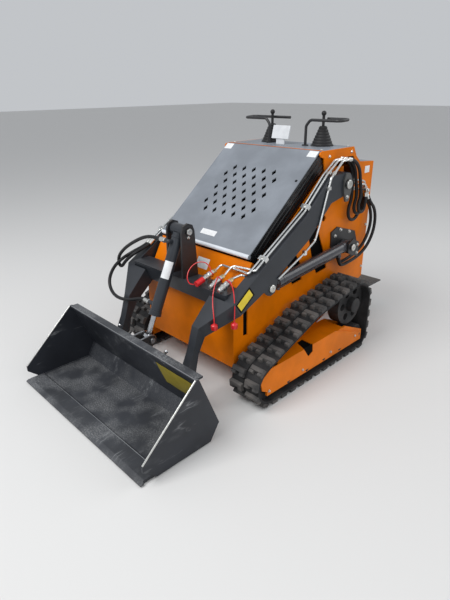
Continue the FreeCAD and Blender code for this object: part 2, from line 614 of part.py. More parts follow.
brackets = []
for side, sign in SIDES:
    x = sign * arm_middle
    base = (x, *lift_base)
    tip = (x, *lift_tip)
    half_tail = S.tail_eye_wide * 0.5
    outer = mirrored(sign, S.arm_in + S.arm_wide + 5, S.arm_in + S.arm_wide + 15)
    wall = mirrored(sign, S.plate_in + S.plate_thick, S.arm_in + S.arm_wide + 15)
    pad_span = mirrored(sign, S.plate_in + S.plate_thick, S.arm_in + S.arm_wide * 0.5 - S.barrel_round - 5)
    back, up = S.lift_base_back, S.lift_base_up
    cheek = plate(f"lift_cheek_{side}", "X", outer, [[
        (back - 34, up + 26), (back + 10, up + 48), (back + 72, up + 20), (back + 72, up - 70),
        (back + 10, up - 52), (back - 34, up - 28)]])
    base_span = mirrored(sign, S.plate_in + S.plate_thick, S.plate_in + S.plate_thick + S.lift_plate)
    base_plate = plate(f"lift_base_plate_{side}", "X", base_span, [[
        (back - 99, up + 93), (back - 37, up + 115), (back + 159, up + 53), (back + 191, up - 21),
        (back + 120, up - 60), (back - 86, up - 60)]])
    web = block(f"lift_web_{side}", (wall[0], back + 44, up - 60), (wall[1], back + 60, up + 20))
    pad = bar(f"lift_pad_{side}", (pad_span[0], back, up), pad_span[1], 34)
    pin_span = mirrored(sign, S.plate_in + S.plate_thick, S.arm_in + S.arm_wide + 21)
    pin = bar(f"lift_pin_{side}", (pin_span[0], back, up), pin_span[1], S.lug_pin)
    brackets += [cheek, base_plate, web, pad, pin]
    tail_eye = Part.makeCylinder(34, float(S.tail_eye_wide), Vector(x - float(half_tail), *lift_base), Vector(1, 0, 0))
    tube = rod_between(along(base, tip, 20), along(base, tip, S.lift_barrel_end - 20), S.barrel_round)
    gland = rod_between(along(base, tip, S.lift_barrel_end - 32), along(base, tip, S.lift_barrel_end), S.gland_round)
    bore = rod_between(along(base, tip, 140), along(base, tip, S.lift_barrel_end + 5), S.rod_round + S.rod_play)
    pin_bore = Part.makeCylinder(float(S.lug_pin + S.pin_play), 100, Vector(x - 50, *lift_base), Vector(1, 0, 0))
    port_end = lift_port_end(sign)
    port = rod_between(port_end + Vector(0, 0, float(S.lift_port_deep)), port_end, S.port)
    barrel = tail_eye.fuse([tube, gland, port]).cut(bore).cut(pin_bore)
    keep(f"lift_barrel_{side}", solid(f"lift_barrel_{side}", barrel))
    rod = rod_between(along(base, tip, 150), along(base, tip, lift_reach - 10), S.rod_round)
    half_eye = float(S.eye_wide) / 2
    eye = Part.makeCylinder(float(S.eye_round), float(S.eye_wide), Vector(x - half_eye, *lift_tip), Vector(1, 0, 0))
    keep(f"lift_rod_{side}", solid(f"lift_rod_{side}", rod.fuse(eye)))
keep("lift_brackets", fuse("lift_brackets_joined", brackets))

# Tilt cylinder

tilt_base = (0, float(S.ear_pin_back), float(S.ear_pin_up))
tilt_tip = (0, float(S.tilt_rod_back), float(S.tilt_rod_up))
tilt_reach = (Vector(*tilt_tip) - Vector(*tilt_base)).Length
tilt_end = float(S.tilt_barrel_end)
tail_half = float(S.tilt_tail_wide) / 2
head = Part.makeCylinder(30, 2 * tail_half, Vector(-tail_half, *tilt_base[1:]), Vector(1, 0, 0))
tube = rod_between(along(tilt_base, tilt_tip, 20), along(tilt_base, tilt_tip, tilt_end - 16), S.barrel_round)
gland = rod_between(along(tilt_base, tilt_tip, tilt_end - 24), along(tilt_base, tilt_tip, tilt_end), S.gland_round)
bore = rod_between(along(tilt_base, tilt_tip, 105), along(tilt_base, tilt_tip, tilt_end + 5),
                   S.tilt_rod_round + S.rod_play)
pin_bore = Part.makeCylinder(float(S.ear_pin), 2 * tail_half + 4, Vector(-tail_half - 2, *tilt_base[1:]),
                             Vector(1, 0, 0))
low_root = along(tilt_base, tilt_tip, 410)
low_port = Vector(-86, low_root.y, low_root.z)
high_root = along(tilt_base, tilt_tip, 62)
high_elbow = Vector(0, -506, 796)
high_port = Vector(-40, -506, 796)
ports = [rod_between(low_root, low_port, S.port), rod_between(high_root, high_elbow, S.port),
         rod_between(high_elbow, high_port, S.port), Part.makeSphere(float(S.port), high_elbow)]
keep("tilt_barrel", solid("tilt_barrel", head.fuse([tube, gland] + ports).cut(bore).cut(pin_bore)))
rod = rod_between(along(tilt_base, tilt_tip, 170), along(tilt_base, tilt_tip, tilt_reach - 8), S.tilt_rod_round)
half_eye = float(S.tilt_eye_wide) / 2
eye = Part.makeCylinder(24, 2 * half_eye, Vector(-half_eye, *tilt_tip[1:]), Vector(1, 0, 0))
keep("tilt_rod", solid("tilt_rod", rod.fuse(eye)))

# Pipes along the arms' tops, couplers on the cross tube, hoses

arm_top = [(float(S.arm_end_front), float(S.arm_end_top)), (float(S.arm_bend_back), float(S.arm_bend_top)),
           (float(S.pivot_back - 147), float(S.pivot_up + 56))]


def above_arm(back, off):
    """The height of a line that runs the distance off above the arm's top edge."""
    (y0, z0), (y1, z1), (y2, z2) = arm_top
    if back > y1:
        y0, z0, y1, z1 = y1, z1, y2, z2
    slope = (z1 - z0) / (y1 - y0)
    return z0 + slope * (back - y0) + off * math.hypot(1, slope)


def clamp(sign, back):
    """A block that holds the pipes on the arm's top at one place."""
    (y0, z0), (y1, z1), (y2, z2) = arm_top
    if back > y1:
        y0, z0, y1, z1 = y1, z1, y2, z2
    turn = math.degrees(math.atan2(z1 - z0, y1 - y0))
    shape = Part.makeBox(float(S.arm_wide) - 12, 26, float(S.pipe_off) + 10, Vector(0, -13, 0))
    shape.rotate(Vector(0, 0, 0), Vector(1, 0, 0), turn)
    low = float(S.arm_in) + 6 if sign > 0 else -float(S.arm_in + S.arm_wide) + 6
    shape.translate(Vector(low, back, above_arm(back, 0)))
    return shape


pivot_back, pivot_up = float(S.pivot_back), float(S.pivot_up)
turn_round = float(S.hose_turn)
off = float(S.pipe_off)
pipe = float(S.pipe)
PIPE_BENDS = (
    # sheet's alias for the pipe's x, place where it leaves the arm, height there, its coupler
    ("pipe_inner", -338, 676, 0),
    ("pipe_outer", -316, 690, 1),
)
COUPLERS = (
    # x, y and z of the upper end; y and z of the lower end
    (190, -384, 646, -450, 627),
    (270, -402, 642, -474, 616),
    (335, -407, 642, -478, 616),
)
pipe_shapes = []
arc_shapes = []
body_shapes = []


def coupler_lead(number):
    """The upper end of a coupler and the point 30 mm up its axis, where its pipe comes in."""
    x, back, up, end_back, end_up = COUPLERS[number]
    start, end = Vector(x, back, up), Vector(x, end_back, end_up)
    return start, along(start, end, -30)


for side, sign in SIDES:
    pieces = [clamp(sign, back) for back in (88, -236)]
    for alias, leave, leave_up, number in PIPE_BENDS:
        x = sign * float(getattr(S, alias))
        run = [(x, back, above_arm(back, off)) for back in (leave, float(S.arm_bend_back), 236)]
        head = [(x, pivot_back - 62, pivot_up + turn_round), (x, pivot_back + 2, pivot_up + turn_round)]
        if sign > 0:
            start, lead = coupler_lead(number)
            tail = [start, lead, (start.x, -324, leave_up - 4), (x - 30, leave + 8, leave_up)]
        else:
            tail = []
            run[0] = (x, -330, above_arm(-330, off))
        pieces.append(tube_along(tail + run + head, pipe, float(S.pipe_bend)))
    if sign > 0:
        # The third pipe runs down the arm's outer face to the lug
        x = float(S.pipe_side)
        pieces.append(tube_along([
            (x, pivot_back + 2, pivot_up + turn_round), (x, pivot_back - 62, pivot_up + turn_round),
            (x, 236, 1064), (x, 158, 826), (x, 128, 752), (x, 30, 700), (x, -168, 616)], pipe, float(S.pipe_bend)))
        pieces.append(Part.makeBox(2 * pipe + 4, 20, 26, Vector(x - pipe - 1, 30, 694)))
        pieces.append(Part.makeBox(2 * pipe + 4, 26, 18, Vector(x - pipe - 1, 206, 1006)))
        start, lead = coupler_lead(2)
        pieces.append(tube_along([start, lead, (start.x + 14, -340, 662), (float(S.arm_in), -340, 662)], pipe, 14))
    pipe_shapes.append(pieces[0].multiFuse(pieces[1:]))
    # The hoses that carry on from the pipes turn round the pivot with the arm
    for alias in ("pipe_inner", "pipe_outer", "pipe_side")[:3 if sign > 0 else 2]:
        x = sign * float(getattr(S, alias))
        centre = Vector(x, pivot_back, pivot_up)
        points = [centre + Vector(0, turn_round * math.sin(turn), turn_round * math.cos(turn))
                  for turn in (math.radians(1.2), math.radians(44), math.radians(88))]
        path = Part.Wire([Part.Arc(*points).toShape()])
        ring = Part.Wire([Part.makeCircle(float(S.hose), points[0], Vector(0, 1, 0))])
        arc_shapes.append(path.makePipeShell([ring], True, True))
    # The body's own hoses: a loop below the pivot, and one to the lift cylinder
    x = sign * float(S.pipe_inner)
    plate_face = sign * float(S.plate_in + S.plate_thick)
    port_end = lift_port_end(sign)
    loop = tube_along([(x, 548, 976), (x, 546, 915), (x, 500, 845), (x, 520, 785), (x, 596, 778), (x, 650, 830),
                       (x, 664, 900), (x, 668, 955)], float(S.hose), 60)
    outer_x = sign * float(S.pipe_outer)
    loop2 = tube_along([(outer_x, 548, 976), (outer_x, 552, 920), (outer_x, 520, 860), (outer_x, 540, 815),
                        (outer_x, 600, 815), (outer_x, 632, 860), (outer_x, 634, 930)], float(S.hose), 60)
    feed = tube_along([(plate_face, 700, 890), (plate_face + sign * 20, 700, 890), (x, 722, 868), (x, 772, 800), (x, 778, 690), (x, 722, 596),
                       (x, 640, 552), (x, 555, 538), (x, 484, 532), (x, port_end.y, port_end.z - 34),
                       (x, port_end.y, port_end.z - 0.3)], float(S.hose), 60)
    stubs = [rod_between((plate_face, 668, 965), (x + sign * 11, 668, 965), float(S.port)),
             rod_between((plate_face, 634, 940), (outer_x + sign * 11, 634, 940), float(S.port))]
    more = [loop2, feed] + stubs
    if sign > 0:
        side_x = float(S.pipe_side)
        more.append(tube_along([
            (side_x, 548, 976), (side_x, 552, 925), (side_x, 526, 872), (side_x, 545, 836), (side_x, 588, 838),
            (side_x, 602, 872), (side_x, 602, 940)], float(S.hose), 60))
        more.append(rod_between((plate_face, 602, 950), (side_x + 11, 602, 950), float(S.port)))
    body_shapes.append(loop.multiFuse(more))
keep("arm_pipes", solid("arm_pipes", Part.makeCompound(pipe_shapes)))
keep("arm_hoses", solid("arm_hoses", Part.makeCompound(arc_shapes)))
keep("body_hoses", solid("body_hoses", Part.makeCompound(body_shapes)))

coupler_shapes = []
cap_shapes = []
for x, back, up, end_back, end_up in COUPLERS:
    start, end = Vector(x, back, up), Vector(x, end_back, end_up)
    coupler_shapes.append(rod_between(start, end, float(S.coupler)))
    coupler_shapes.append(rod_between(along(start, end, 18), along(start, end, 34), float(S.coupler) + 3))
    loop_foot = Vector(x, (back + end_back) / 2, (up + end_up) / 2)
    coupler_shapes.append(Part.makeBox(14, 22, loop_foot.z - float(S.cross_top), Vector(x - 7, loop_foot.y - 11, float(S.cross_top))))
x, back, up, end_back, end_up = COUPLERS[0]
start, end = Vector(x, back, up), Vector(x, end_back, end_up)
reach = (end - start).Length
cap_shapes.append(rod_between(along(start, end, reach + 0.3), along(start, end, reach + 50), float(S.cap)))
keep("couplers", solid("couplers", coupler_shapes[0].multiFuse(coupler_shapes[1:])))
keep("coupler_cap", solid("coupler_cap", cap_shapes[0]))

# Tilt cylinder's hoses: from the right arm's pipe ends to the two ports
hose = float(S.hose)
heading = Vector(0, arm_top[0][0] - arm_top[1][0], arm_top[0][1] - arm_top[1][1]).normalize()
inner_end = Vector(-float(S.pipe_inner), -330, above_arm(-330, off))
outer_end = Vector(-float(S.pipe_outer), -330, above_arm(-330, off))
upper_hose = tube_along([
    inner_end + heading * 0.3, inner_end + heading * 45, (-404, -452, 630), (-428, -500, 592), (-452, -512, 550),
    (-478, -512, 556), (-476, -512, 600), (-405, -512, 668), (-290, -510, 742), (-190, -508, 786),
    high_port + Vector(-66, 0, 0), high_port + Vector(-0.3, 0, 0)], hose, 60)
lower_hose = tube_along([
    outer_end + heading * 0.3, outer_end + heading * 45, (-426, -452, 632), (-456, -510, 598), (-488, -552, 545),
    (-488, -588, 482), (-440, -612, 436), (-345, -630, 424), (-230, -628, 440),
    low_port + Vector(-60, 0, 0), low_port + Vector(-0.3, 0, 0)], hose, 60)
keep("tilt_hoses", solid("tilt_hoses", Part.makeCompound([upper_hose, lower_hose])))

# Tracks: rubber loop, drive wheel, idlers and rollers, frame and cover

wheels = [
    (float(S.front_wheel_back), float(S.front_wheel_up), float(S.front_wheel_round)),
    (float(S.rear_wheel_back), float(S.rear_wheel_up), float(S.rear_wheel_round)),
    (float(S.drive_back), float(S.drive_up), float(S.drive_round)),
    (float(S.carrier_back), float(S.carrier_up), float(S.carrier_round)),
]
track_shape = track_loop(wheels)
drive_wheels = []
drive_motors = []
frames = []
covers = []
for side, sign in SIDES:
    shape = track_shape if sign > 0 else track_shape.mirror(Vector(0, 0, 0), Vector(1, 0, 0))
    keep(f"track_{side}", solid(f"track_{side}", shape))
    wheel_span = mirrored(sign, S.wheel_in, S.wheel_out)
    axle_span = mirrored(sign, S.frame_in, S.frame_out)
    front = (S.front_wheel_back, S.front_wheel_up)
    rear = (S.rear_wheel_back, S.rear_wheel_up)
    parts = [
        bar(f"front_idler_{side}", (wheel_span[0], *front), wheel_span[1],
            S.front_wheel_round - S.belt_thick - S.roller_play),
        bar(f"front_axle_{side}", (axle_span[0], *front), axle_span[1], S.axle_round),
        bar(f"rear_idler_{side}", (wheel_span[0], *rear), wheel_span[1],
            S.rear_wheel_round - S.belt_thick - S.roller_play),
        bar(f"rear_axle_{side}", (axle_span[0], *rear), axle_span[1], S.axle_round),
    ]
    for step in range(int(float(S.roller_count))):
        place = (S.roller_first + S.roller_step * step, S.belt_thick + S.roller_round + S.roller_play)
        parts.append(bar(f"roller_{side}{step}", (wheel_span[0], *place), wheel_span[1], S.roller_round))
        parts.append(bar(f"roller_axle_{side}{step}", (axle_span[0], *place), axle_span[1], S.axle_round))
    carrier = (S.carrier_back, S.carrier_up)
    carrier_span = mirrored(sign, S.wheel_in + 15, S.wheel_out - 20)
    parts.append(bar(f"carrier_{side}", (carrier_span[0], *carrier), carrier_span[1],
                     S.carrier_round - S.belt_thick - S.roller_play))
    rollers = fuse(f"track_rollers_joined_{side}", parts)
    keep(f"track_rollers_{side}", rollers)
    drive = (S.drive_back, S.drive_up)
    drive_span = mirrored(sign, S.wheel_in + 14, S.wheel_out - 14)
    motor_span = mirrored(sign, S.plate_in + S.plate_thick, S.wheel_in + 14)
    hub_span = mirrored(sign, S.wheel_out - 14, S.wheel_out + 20)
    disc = bar(f"sprocket_disc_{side}", (drive_span[0], *drive), drive_span[1],
               S.drive_round - S.belt_thick - S.roller_play)
    ring = []
    for step in range(int(float(S.wheel_hole_count))):
        turn = 2 * math.pi * step / float(S.wheel_hole_count)
        spot = (S.drive_back + S.wheel_hole_ring * math.cos(turn), S.drive_up + S.wheel_hole_ring * math.sin(turn))
        ring.append(bar(f"sprocket_hole_{side}{step}", (drive_span[0] - 1, *spot), drive_span[1] + 1, S.wheel_hole))
    sprocket = cut(f"sprocket_{side}", disc, fuse(f"sprocket_holes_{side}", ring))
    hub = bar(f"sprocket_hub_{side}", (hub_span[0], *drive), hub_span[1], 44)
    drive_wheels += [sprocket, hub]
    drive_motors.append(bar(f"drive_motor_{side}", (motor_span[0], *drive), motor_span[1], S.motor_round))
    cheek_outline = [
        (S.front_wheel_back - 30, S.frame_low + 10), (S.rear_wheel_back + 26, S.frame_low),
        (S.rear_wheel_back + 26, S.rear_wheel_up + 30), (330, S.frame_top), (S.front_wheel_back, S.frame_top - 50),
        (S.front_wheel_back - 40, S.front_wheel_up + 10)]
    axle_holes = [(S.front_wheel_back, S.front_wheel_up, S.axle_round), (S.rear_wheel_back, S.rear_wheel_up, S.axle_round)]
    for step in range(int(float(S.roller_count))):
        axle_holes.append((S.roller_first + S.roller_step * step, S.belt_thick + S.roller_round + S.roller_play, S.axle_round))
    inner = plate(f"frame_inner_{side}", "X", mirrored(sign, S.frame_in, S.frame_in + S.frame_wall), [cheek_outline] + axle_holes)
    outer = plate(f"frame_outer_{side}", "X", mirrored(sign, S.frame_out - S.frame_wall, S.frame_out), [cheek_outline] + axle_holes)
    top_span = mirrored(sign, S.frame_in, S.frame_out)
    top = block(f"frame_top_{side}", (top_span[0], -230, S.frame_top - 14), (top_span[1], 310, S.frame_top))
    post_span = mirrored(sign, S.wheel_in, S.wheel_in + 15)
    post = block(f"frame_post_{side}", (post_span[0], S.carrier_back - 16, S.frame_top - 14),
                 (post_span[1], S.carrier_back + 16, S.carrier_up + 16))
    ties = [bar(f"frame_tie_{side}{number}", (mirrored(sign, S.plate_in + S.plate_thick, S.frame_in)[0], place, S.cross_tube_up + 20),
                mirrored(sign, S.plate_in + S.plate_thick, S.frame_in)[1], S.cross_tube_round)
            for number, place in enumerate((S.cross_tube_first, S.cross_tube_second))]
    frames += [inner, outer, top, post] + ties
    skin = mirrored(sign, S.frame_out, S.frame_out + S.cover_thick)
    flange = mirrored(sign, S.frame_out - 90, S.frame_out + S.cover_thick)
    cover_plate = plate(f"cover_plate_{side}", "X", skin, [[
        (S.cover_fold_front, S.cover_low), (S.cover_back, S.cover_low), (S.cover_back, S.cover_back_up),
        (S.cover_fold_back, S.cover_fold), (S.cover_fold_front, S.cover_fold),
        (S.cover_front + 21, S.cover_low + 109), (S.cover_front, S.cover_low + 82), (S.cover_front + 12, S.cover_low + 36)]])
    cover_top = plate(f"cover_top_{side}", "X", flange, [[
        (S.cover_fold_front + 65, S.cover_fold - 5), (S.cover_fold_back, S.cover_fold - 5),
        (S.cover_fold_back, S.cover_fold), (S.cover_fold_front + 65, S.cover_fold)]])
    edge = sign * (float(S.frame_out) - 3)
    in_face = Part.makePolygon([Vector(edge, y, z) for y, z in ((-80, 226), (-34, 160), (4, 176), (-1, 226), (-80, 226))])
    fold = float(S.cover_fold) - 9
    in_flange = Part.makePolygon([Vector(sign * x, y, fold) for x, y in (
        (572, -80), (485, -44), (481, 6), (572, -1), (572, -80))])
    notch = Part.Face(in_face).extrude(Vector(sign * 14, 0, 0)).fuse(Part.Face(in_flange).extrude(Vector(0, 0, 16)))
    bent = fuse(f"cover_bent_{side}", [cover_plate, cover_top])
    covers.append(cut(f"cover_notched_{side}", bent, solid(f"cover_notch_{side}", notch)))
keep("drive_wheels", fuse("drive_wheels_joined", drive_wheels))
keep("drive_motors", fuse("drive_motors_joined", drive_motors))
keep("track_frames", fuse("track_frames_joined", frames))
keep("track_covers", fuse("track_covers_joined", covers))

# Attachment plate: plate, hinge ears on each side of each leg, pins, clevis for the tilt rod

lean = float(S.bucket_back - S.bucket_top) / float(S.bucket_top_up - S.bucket_back_up)


def back_line(up, shift):
    """The Y place of the bucket's back at a height, moved back by the shift."""
    return S.bucket_back - (as_dim(up) - S.bucket_back_up) * lean + shift


plate_front_low = back_line(S.attach_low, 0.3)
plate_front_up = back_line(S.attach_up, 0.3)
plate_back_low = back_line(S.attach_low, S.attach_thick)
plate_back_up = back_line(S.attach_up, S.attach_thick)
attach = [plate("attach_sheet", "X", (-S.attach_half, S.attach_half), [[
    (plate_front_low, S.attach_low), (plate_back_low, S.attach_low),
    (plate_back_up, S.attach_up), (plate_front_up, S.attach_up)]])]
for side, sign in SIDES:
    inner = S.leg_in - S.hinge_gap
    outer = S.leg_in + S.leg_wide + S.hinge_gap
    for name, low in (("inner", inner - S.hinge_thick), ("outer", outer)):
        attach.append(plate(f"hinge_{name}_{side}", "X", mirrored(sign, low, low + S.hinge_thick), [[
            (back_line(S.foot_up - 62, S.attach_thick - 4), S.foot_up - 62),
            (S.foot_back + 8, S.foot_up - 32), (S.foot_back + 32, S.foot_up - 8), (S.foot_back + 32, S.foot_up + 10),
            (S.foot_back + 10, S.foot_up + 32),
            (back_line(S.foot_up + 70, S.attach_thick - 4), S.foot_up + 70)]]))
    pin_span = mirrored(sign, inner - S.hinge_thick - 6, outer + S.hinge_thick + 6)
    attach.append(bar(f"hinge_pin_{side}", (pin_span[0], *foot), pin_span[1], S.foot_pin - S.pin_play))
    attach.append(plate(f"clevis_{side}", "X", mirrored(sign, S.clevis_gap, S.clevis_gap + S.clevis_thick), [[
        (back_line(S.tilt_rod_up - 70, S.attach_thick - 4), S.tilt_rod_up - 70),
        (S.tilt_rod_back + 20, S.tilt_rod_up - 22), (S.tilt_rod_back + 28, S.tilt_rod_up),
        (S.tilt_rod_back + 18, S.tilt_rod_up + 24), (S.tilt_rod_back - 8, S.tilt_rod_up + 30),
        (back_line(S.attach_up, S.attach_thick - 4), S.attach_up)]]))
levers = []
for x_low, x_high in ((98, 188), (-225, -118)):
    stand = float(back_line(S.attach_up - 40, S.attach_thick))
    levers.append(tube_along([(x_low, stand - 1, 292), (x_low, stand + 42, 292), (x_high, stand + 42, 300),
                              (x_high, stand + 66, 318)], 8, 16))
attach.append(solid("attach_levers", Part.makeCompound(levers)))
keep("attach_plate", fuse("attach_plate_joined", attach))

# Bucket: bent sheet of floor and back, two sides, cutting edge and top bar

thick = S.bucket_sheet
shell = plate("bucket_sheet", "X", (-S.bucket_half + S.bucket_side, S.bucket_half - S.bucket_side), [[
    (S.bucket_lip + 60, S.bucket_floor), (S.bucket_heel, S.bucket_floor), (S.bucket_back, S.bucket_back_up),
    (S.bucket_top, S.bucket_top_up), (S.bucket_top - thick, S.bucket_top_up), (S.bucket_back - thick - 2, S.bucket_back_up + 2),
    (S.bucket_heel - 4, S.bucket_floor + thick), (S.bucket_lip + 60, S.bucket_floor + thick)]])
top_bar = plate("bucket_top_bar", "X", (-S.bucket_half + S.bucket_side, S.bucket_half - S.bucket_side), [[
    (S.bucket_top - thick - 6, S.bucket_top_up), (S.bucket_top + S.top_bar - thick, S.bucket_top_up),
    (S.bucket_top + S.top_bar - thick, S.bucket_top_up + 10), (S.bucket_top - thick - 6, S.bucket_top_up + 10)]])
keep("bucket_shell", fuse("bucket_shell_joined", [shell, top_bar]))
bucket_sides = []
for side, sign in SIDES:
    span = mirrored(sign, S.bucket_half - S.bucket_side, S.bucket_half)
    bucket_sides.append(plate(f"bucket_side_{side}", "X", span, [[
        (S.bucket_lip + 85, S.bucket_floor), (S.bucket_heel, S.bucket_floor), (S.bucket_back, S.bucket_back_up),
        (S.bucket_top, S.bucket_top_up + 10), (S.bucket_top - 14, S.bucket_top_up + 10),
        (S.side_front_back, S.side_front_up), (S.side_front_back, S.side_front_up - 30)]]))
keep("bucket_sides", fuse("bucket_sides_joined", bucket_sides))
edge = plate("cutting_edge_bar", "X", (-S.bucket_half, S.bucket_half), [[
    (S.bucket_lip, S.bucket_floor), (S.bucket_lip + 60, S.bucket_floor), (S.bucket_lip + 60, S.bucket_floor + thick),
    (S.bucket_lip + S.edge_deep, S.bucket_floor + thick), (S.bucket_lip + S.edge_deep - 12, S.bucket_floor + S.edge_thick),
    (S.bucket_lip + 24, S.bucket_floor + S.edge_thick), (S.bucket_lip, S.bucket_floor + 4)]])
keep("cutting_edge", cut("cutting_edge_fitted", edge, fuse("edge_trim", [
    block(f"edge_trim_{side}", (mirrored(sign, S.bucket_half - S.bucket_side, S.bucket_half + 1)[0], S.bucket_lip + 17, 0),
          (mirrored(sign, S.bucket_half - S.bucket_side, S.bucket_half + 1)[1], S.bucket_lip + 200, 60))
    for side, sign in SIDES])))

# Platform: folding plate with two arms, on two brackets of the tail

step_brackets = []
swing = []
for side, sign in SIDES:
    span = mirrored(sign, S.step_bracket_in, S.step_bracket_in + S.step_bracket)
    step_brackets.append(plate(f"step_bracket_{side}", "X", span, [[
        (S.tail_back, S.tail_low + 60), (S.tail_back, S.tail_low - 40), (S.step_pin_back - 22, S.step_pin_up - 4),
        (S.step_pin_back, S.step_pin_up - 16), (S.step_pin_back + 14, S.step_pin_up),
        (S.step_pin_back + 10, S.step_pin_up + 40), (S.tail_back + 30, S.tail_low + 60)]]))
    pin_span = mirrored(sign, S.step_bracket_in - 24, S.step_bracket_in + S.step_bracket + 24)
    step_brackets.append(bar(f"step_pin_{side}", (pin_span[0], S.step_pin_back, S.step_pin_up), pin_span[1], S.step_pin))
    hinge_span = mirrored(sign, S.step_bracket_in + S.step_bracket + 5, S.step_bracket_in + S.step_bracket + 17)
    lug_plate = plate(f"step_lug_{side}", "X", hinge_span, [[
        (S.step_pin_back - 14, S.step_pin_up), (S.step_pin_back, S.step_pin_up + 16),
        (S.step_pin_back + 30, S.step_pin_up + 10), (S.step_pin_back + 140, S.step_plate_up),
        (S.step_pin_back + 14, S.step_plate_up), (S.step_pin_back - 8, S.step_pin_up - 14)],
        (S.step_pin_back, S.step_pin_up, S.step_pin + S.pin_play)])
    swing.append(lug_plate)
keep("step_brackets", fuse("step_brackets_joined", step_brackets))
tread = block("step_tread", (-S.step_half, S.step_front + 14, S.step_plate_up - S.step_plate),
              (S.step_half, S.step_end, S.step_plate_up))
keep("operator_step", fuse("operator_step_joined", [tread] + swing))

# Controls on the deck: two boots with their sticks, two grip loops, a small blank panel

boots = []
deck_top = float(S.deck_up)


def boot_shape(x, y):
    """A bellows boot of revolution with its stick and round knob."""
    folds = int(float(S.boot_folds))
    tall, deep = float(S.boot_tall), float(S.boot_fold_deep)
    low_round, top_round = float(S.boot_round), float(S.boot_top)
    profile = [(0, 0), (low_round, 0)]
    for step in range(folds):
        outer = low_round + (top_round - low_round) * step / folds
        base = tall * step / folds
        profile += [(outer, base + tall * 0.45 / folds), (outer - deep, base + tall * 0.95 / folds)]
    profile += [(top_round - deep, tall), (0, tall)]
    corners = [Vector(x + across, y, deck_top + up) for across, up in profile]
    bellows = Part.Face(Part.makePolygon(corners + corners[:1])).revolve(Vector(x, y, 0), Vector(0, 0, 1), 360)
    reach = float(S.knob_up) - deck_top
    stick = Part.makeCylinder(float(S.stick), reach - tall + 4, Vector(x, y, deck_top + tall - 4))
    knob = Part.makeSphere(float(S.knob_round), Vector(x, y, float(S.knob_up)))
    return bellows.fuse([stick, knob]).removeSplitter()


for side, centre in (("left", S.boot_left), ("right", S.boot_right)):
    boots.append(solid(f"boot_{side}", boot_shape(float(centre), float(S.boot_back))))
keep("control_sticks", fuse("control_sticks_joined", boots))

# Route of each grip loop: foot on the deck, front bar outwards, back bar inwards
GRIPS = (
    # side, foot x, front y, outer x, back bar's end x
    ("left", 117, 432, 345, 200),
    ("right", -150, 425, -355, -65),
)
grips = []
for side, foot_x, front, outer, inner in GRIPS:
    top = float(S.grip_up)
    back = front + float(S.grip_deep)
    lean = 28 if outer > 0 else -28
    grips.append(solid(f"grip_{side}", tube_along([
        (foot_x, front, deck_top), (foot_x, front, top - 32), (foot_x + lean, front, top),
        (outer, front, top), (outer, back, top + 4), (inner, back, top + 4)], float(S.grip_tube), 30)))
keep("grip_loops", fuse("grip_loops_joined", grips))
panel = Part.makeBox(127, 8, 76, Vector(-116, 404, deck_top + 30))
panel.rotate(Vector(-52, 408, deck_top + 30), Vector(1, 0, 0), -15)
stand = Part.makeBox(60, 6, 46, Vector(-82, 409, deck_top))
keep("display_panel", solid("display_panel", panel.fuse(stand)))

# Finish: every object sound, then one file for each sub-part

doc.recompute()
for item in doc.Objects:
    if "Invalid" in item.State or "Error" in item.State:
        raise RuntimeError(f"{item.Label} failed: {item.State}")
for item in NODES:
    shape = item.Shape
    if shape.isNull() or not shape.isValid():
        raise RuntimeError(f"{item.Label} has no sound shape")
    shape.exportStep(f"parts/{item.Label}.step")
    print(item.Label, len(shape.Solids), round(shape.Volume / 1e6, 3))
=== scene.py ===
import logging
import math
from dataclasses import dataclass
from enum import Enum

import bpy
import numpy as np
from mathutils import Matrix, Vector


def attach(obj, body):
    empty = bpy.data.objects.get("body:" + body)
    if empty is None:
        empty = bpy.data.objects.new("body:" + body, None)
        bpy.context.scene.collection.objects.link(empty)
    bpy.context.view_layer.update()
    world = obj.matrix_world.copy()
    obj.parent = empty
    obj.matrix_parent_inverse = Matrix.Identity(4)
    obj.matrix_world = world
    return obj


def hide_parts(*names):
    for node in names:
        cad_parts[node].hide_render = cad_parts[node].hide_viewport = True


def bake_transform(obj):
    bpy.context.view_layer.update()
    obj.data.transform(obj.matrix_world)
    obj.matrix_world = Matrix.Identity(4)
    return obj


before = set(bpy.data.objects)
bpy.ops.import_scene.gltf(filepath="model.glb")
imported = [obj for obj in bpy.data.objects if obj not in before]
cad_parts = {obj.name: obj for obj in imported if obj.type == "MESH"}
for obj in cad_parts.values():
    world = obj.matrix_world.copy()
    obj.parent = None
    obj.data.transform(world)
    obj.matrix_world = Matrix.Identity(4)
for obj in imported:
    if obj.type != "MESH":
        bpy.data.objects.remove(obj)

logging.basicConfig(level=logging.INFO, format="%(message)s")
log = logging.getLogger("loader")

MM = 0.001
TURN = 2 * math.pi
Spot = tuple[float, float]
Point = tuple[float, float, float]

OUT: Point = (1, 0, 0)
BACK: Point = (0, 1, 0)
UP: Point = (0, 0, 1)
DOWN: Point = (0, 0, -1)


class Body(Enum):
    """The bodies of the frame that pieces ride on."""

    CHASSIS = "chassis"
    HOOD = "hood"
    ARMS = "lift_arms"
    BARREL_LEFT = "lift_cylinder_left"
    BARREL_RIGHT = "lift_cylinder_right"
    TILT_BARREL = "tilt_cylinder"
    BUCKET = "bucket"
    PLATFORM = "platform"


class Side(Enum):
    """Left is the side of +X, right is its mirror."""

    LEFT = 1
    RIGHT = -1

    @property
    def label(self) -> str:
        """The side's name in lower case."""
        return self.name.lower()

    @property
    def barrel(self) -> Body:
        """The body of this side's lift barrel."""
        return Body.BARREL_LEFT if self is Side.LEFT else Body.BARREL_RIGHT


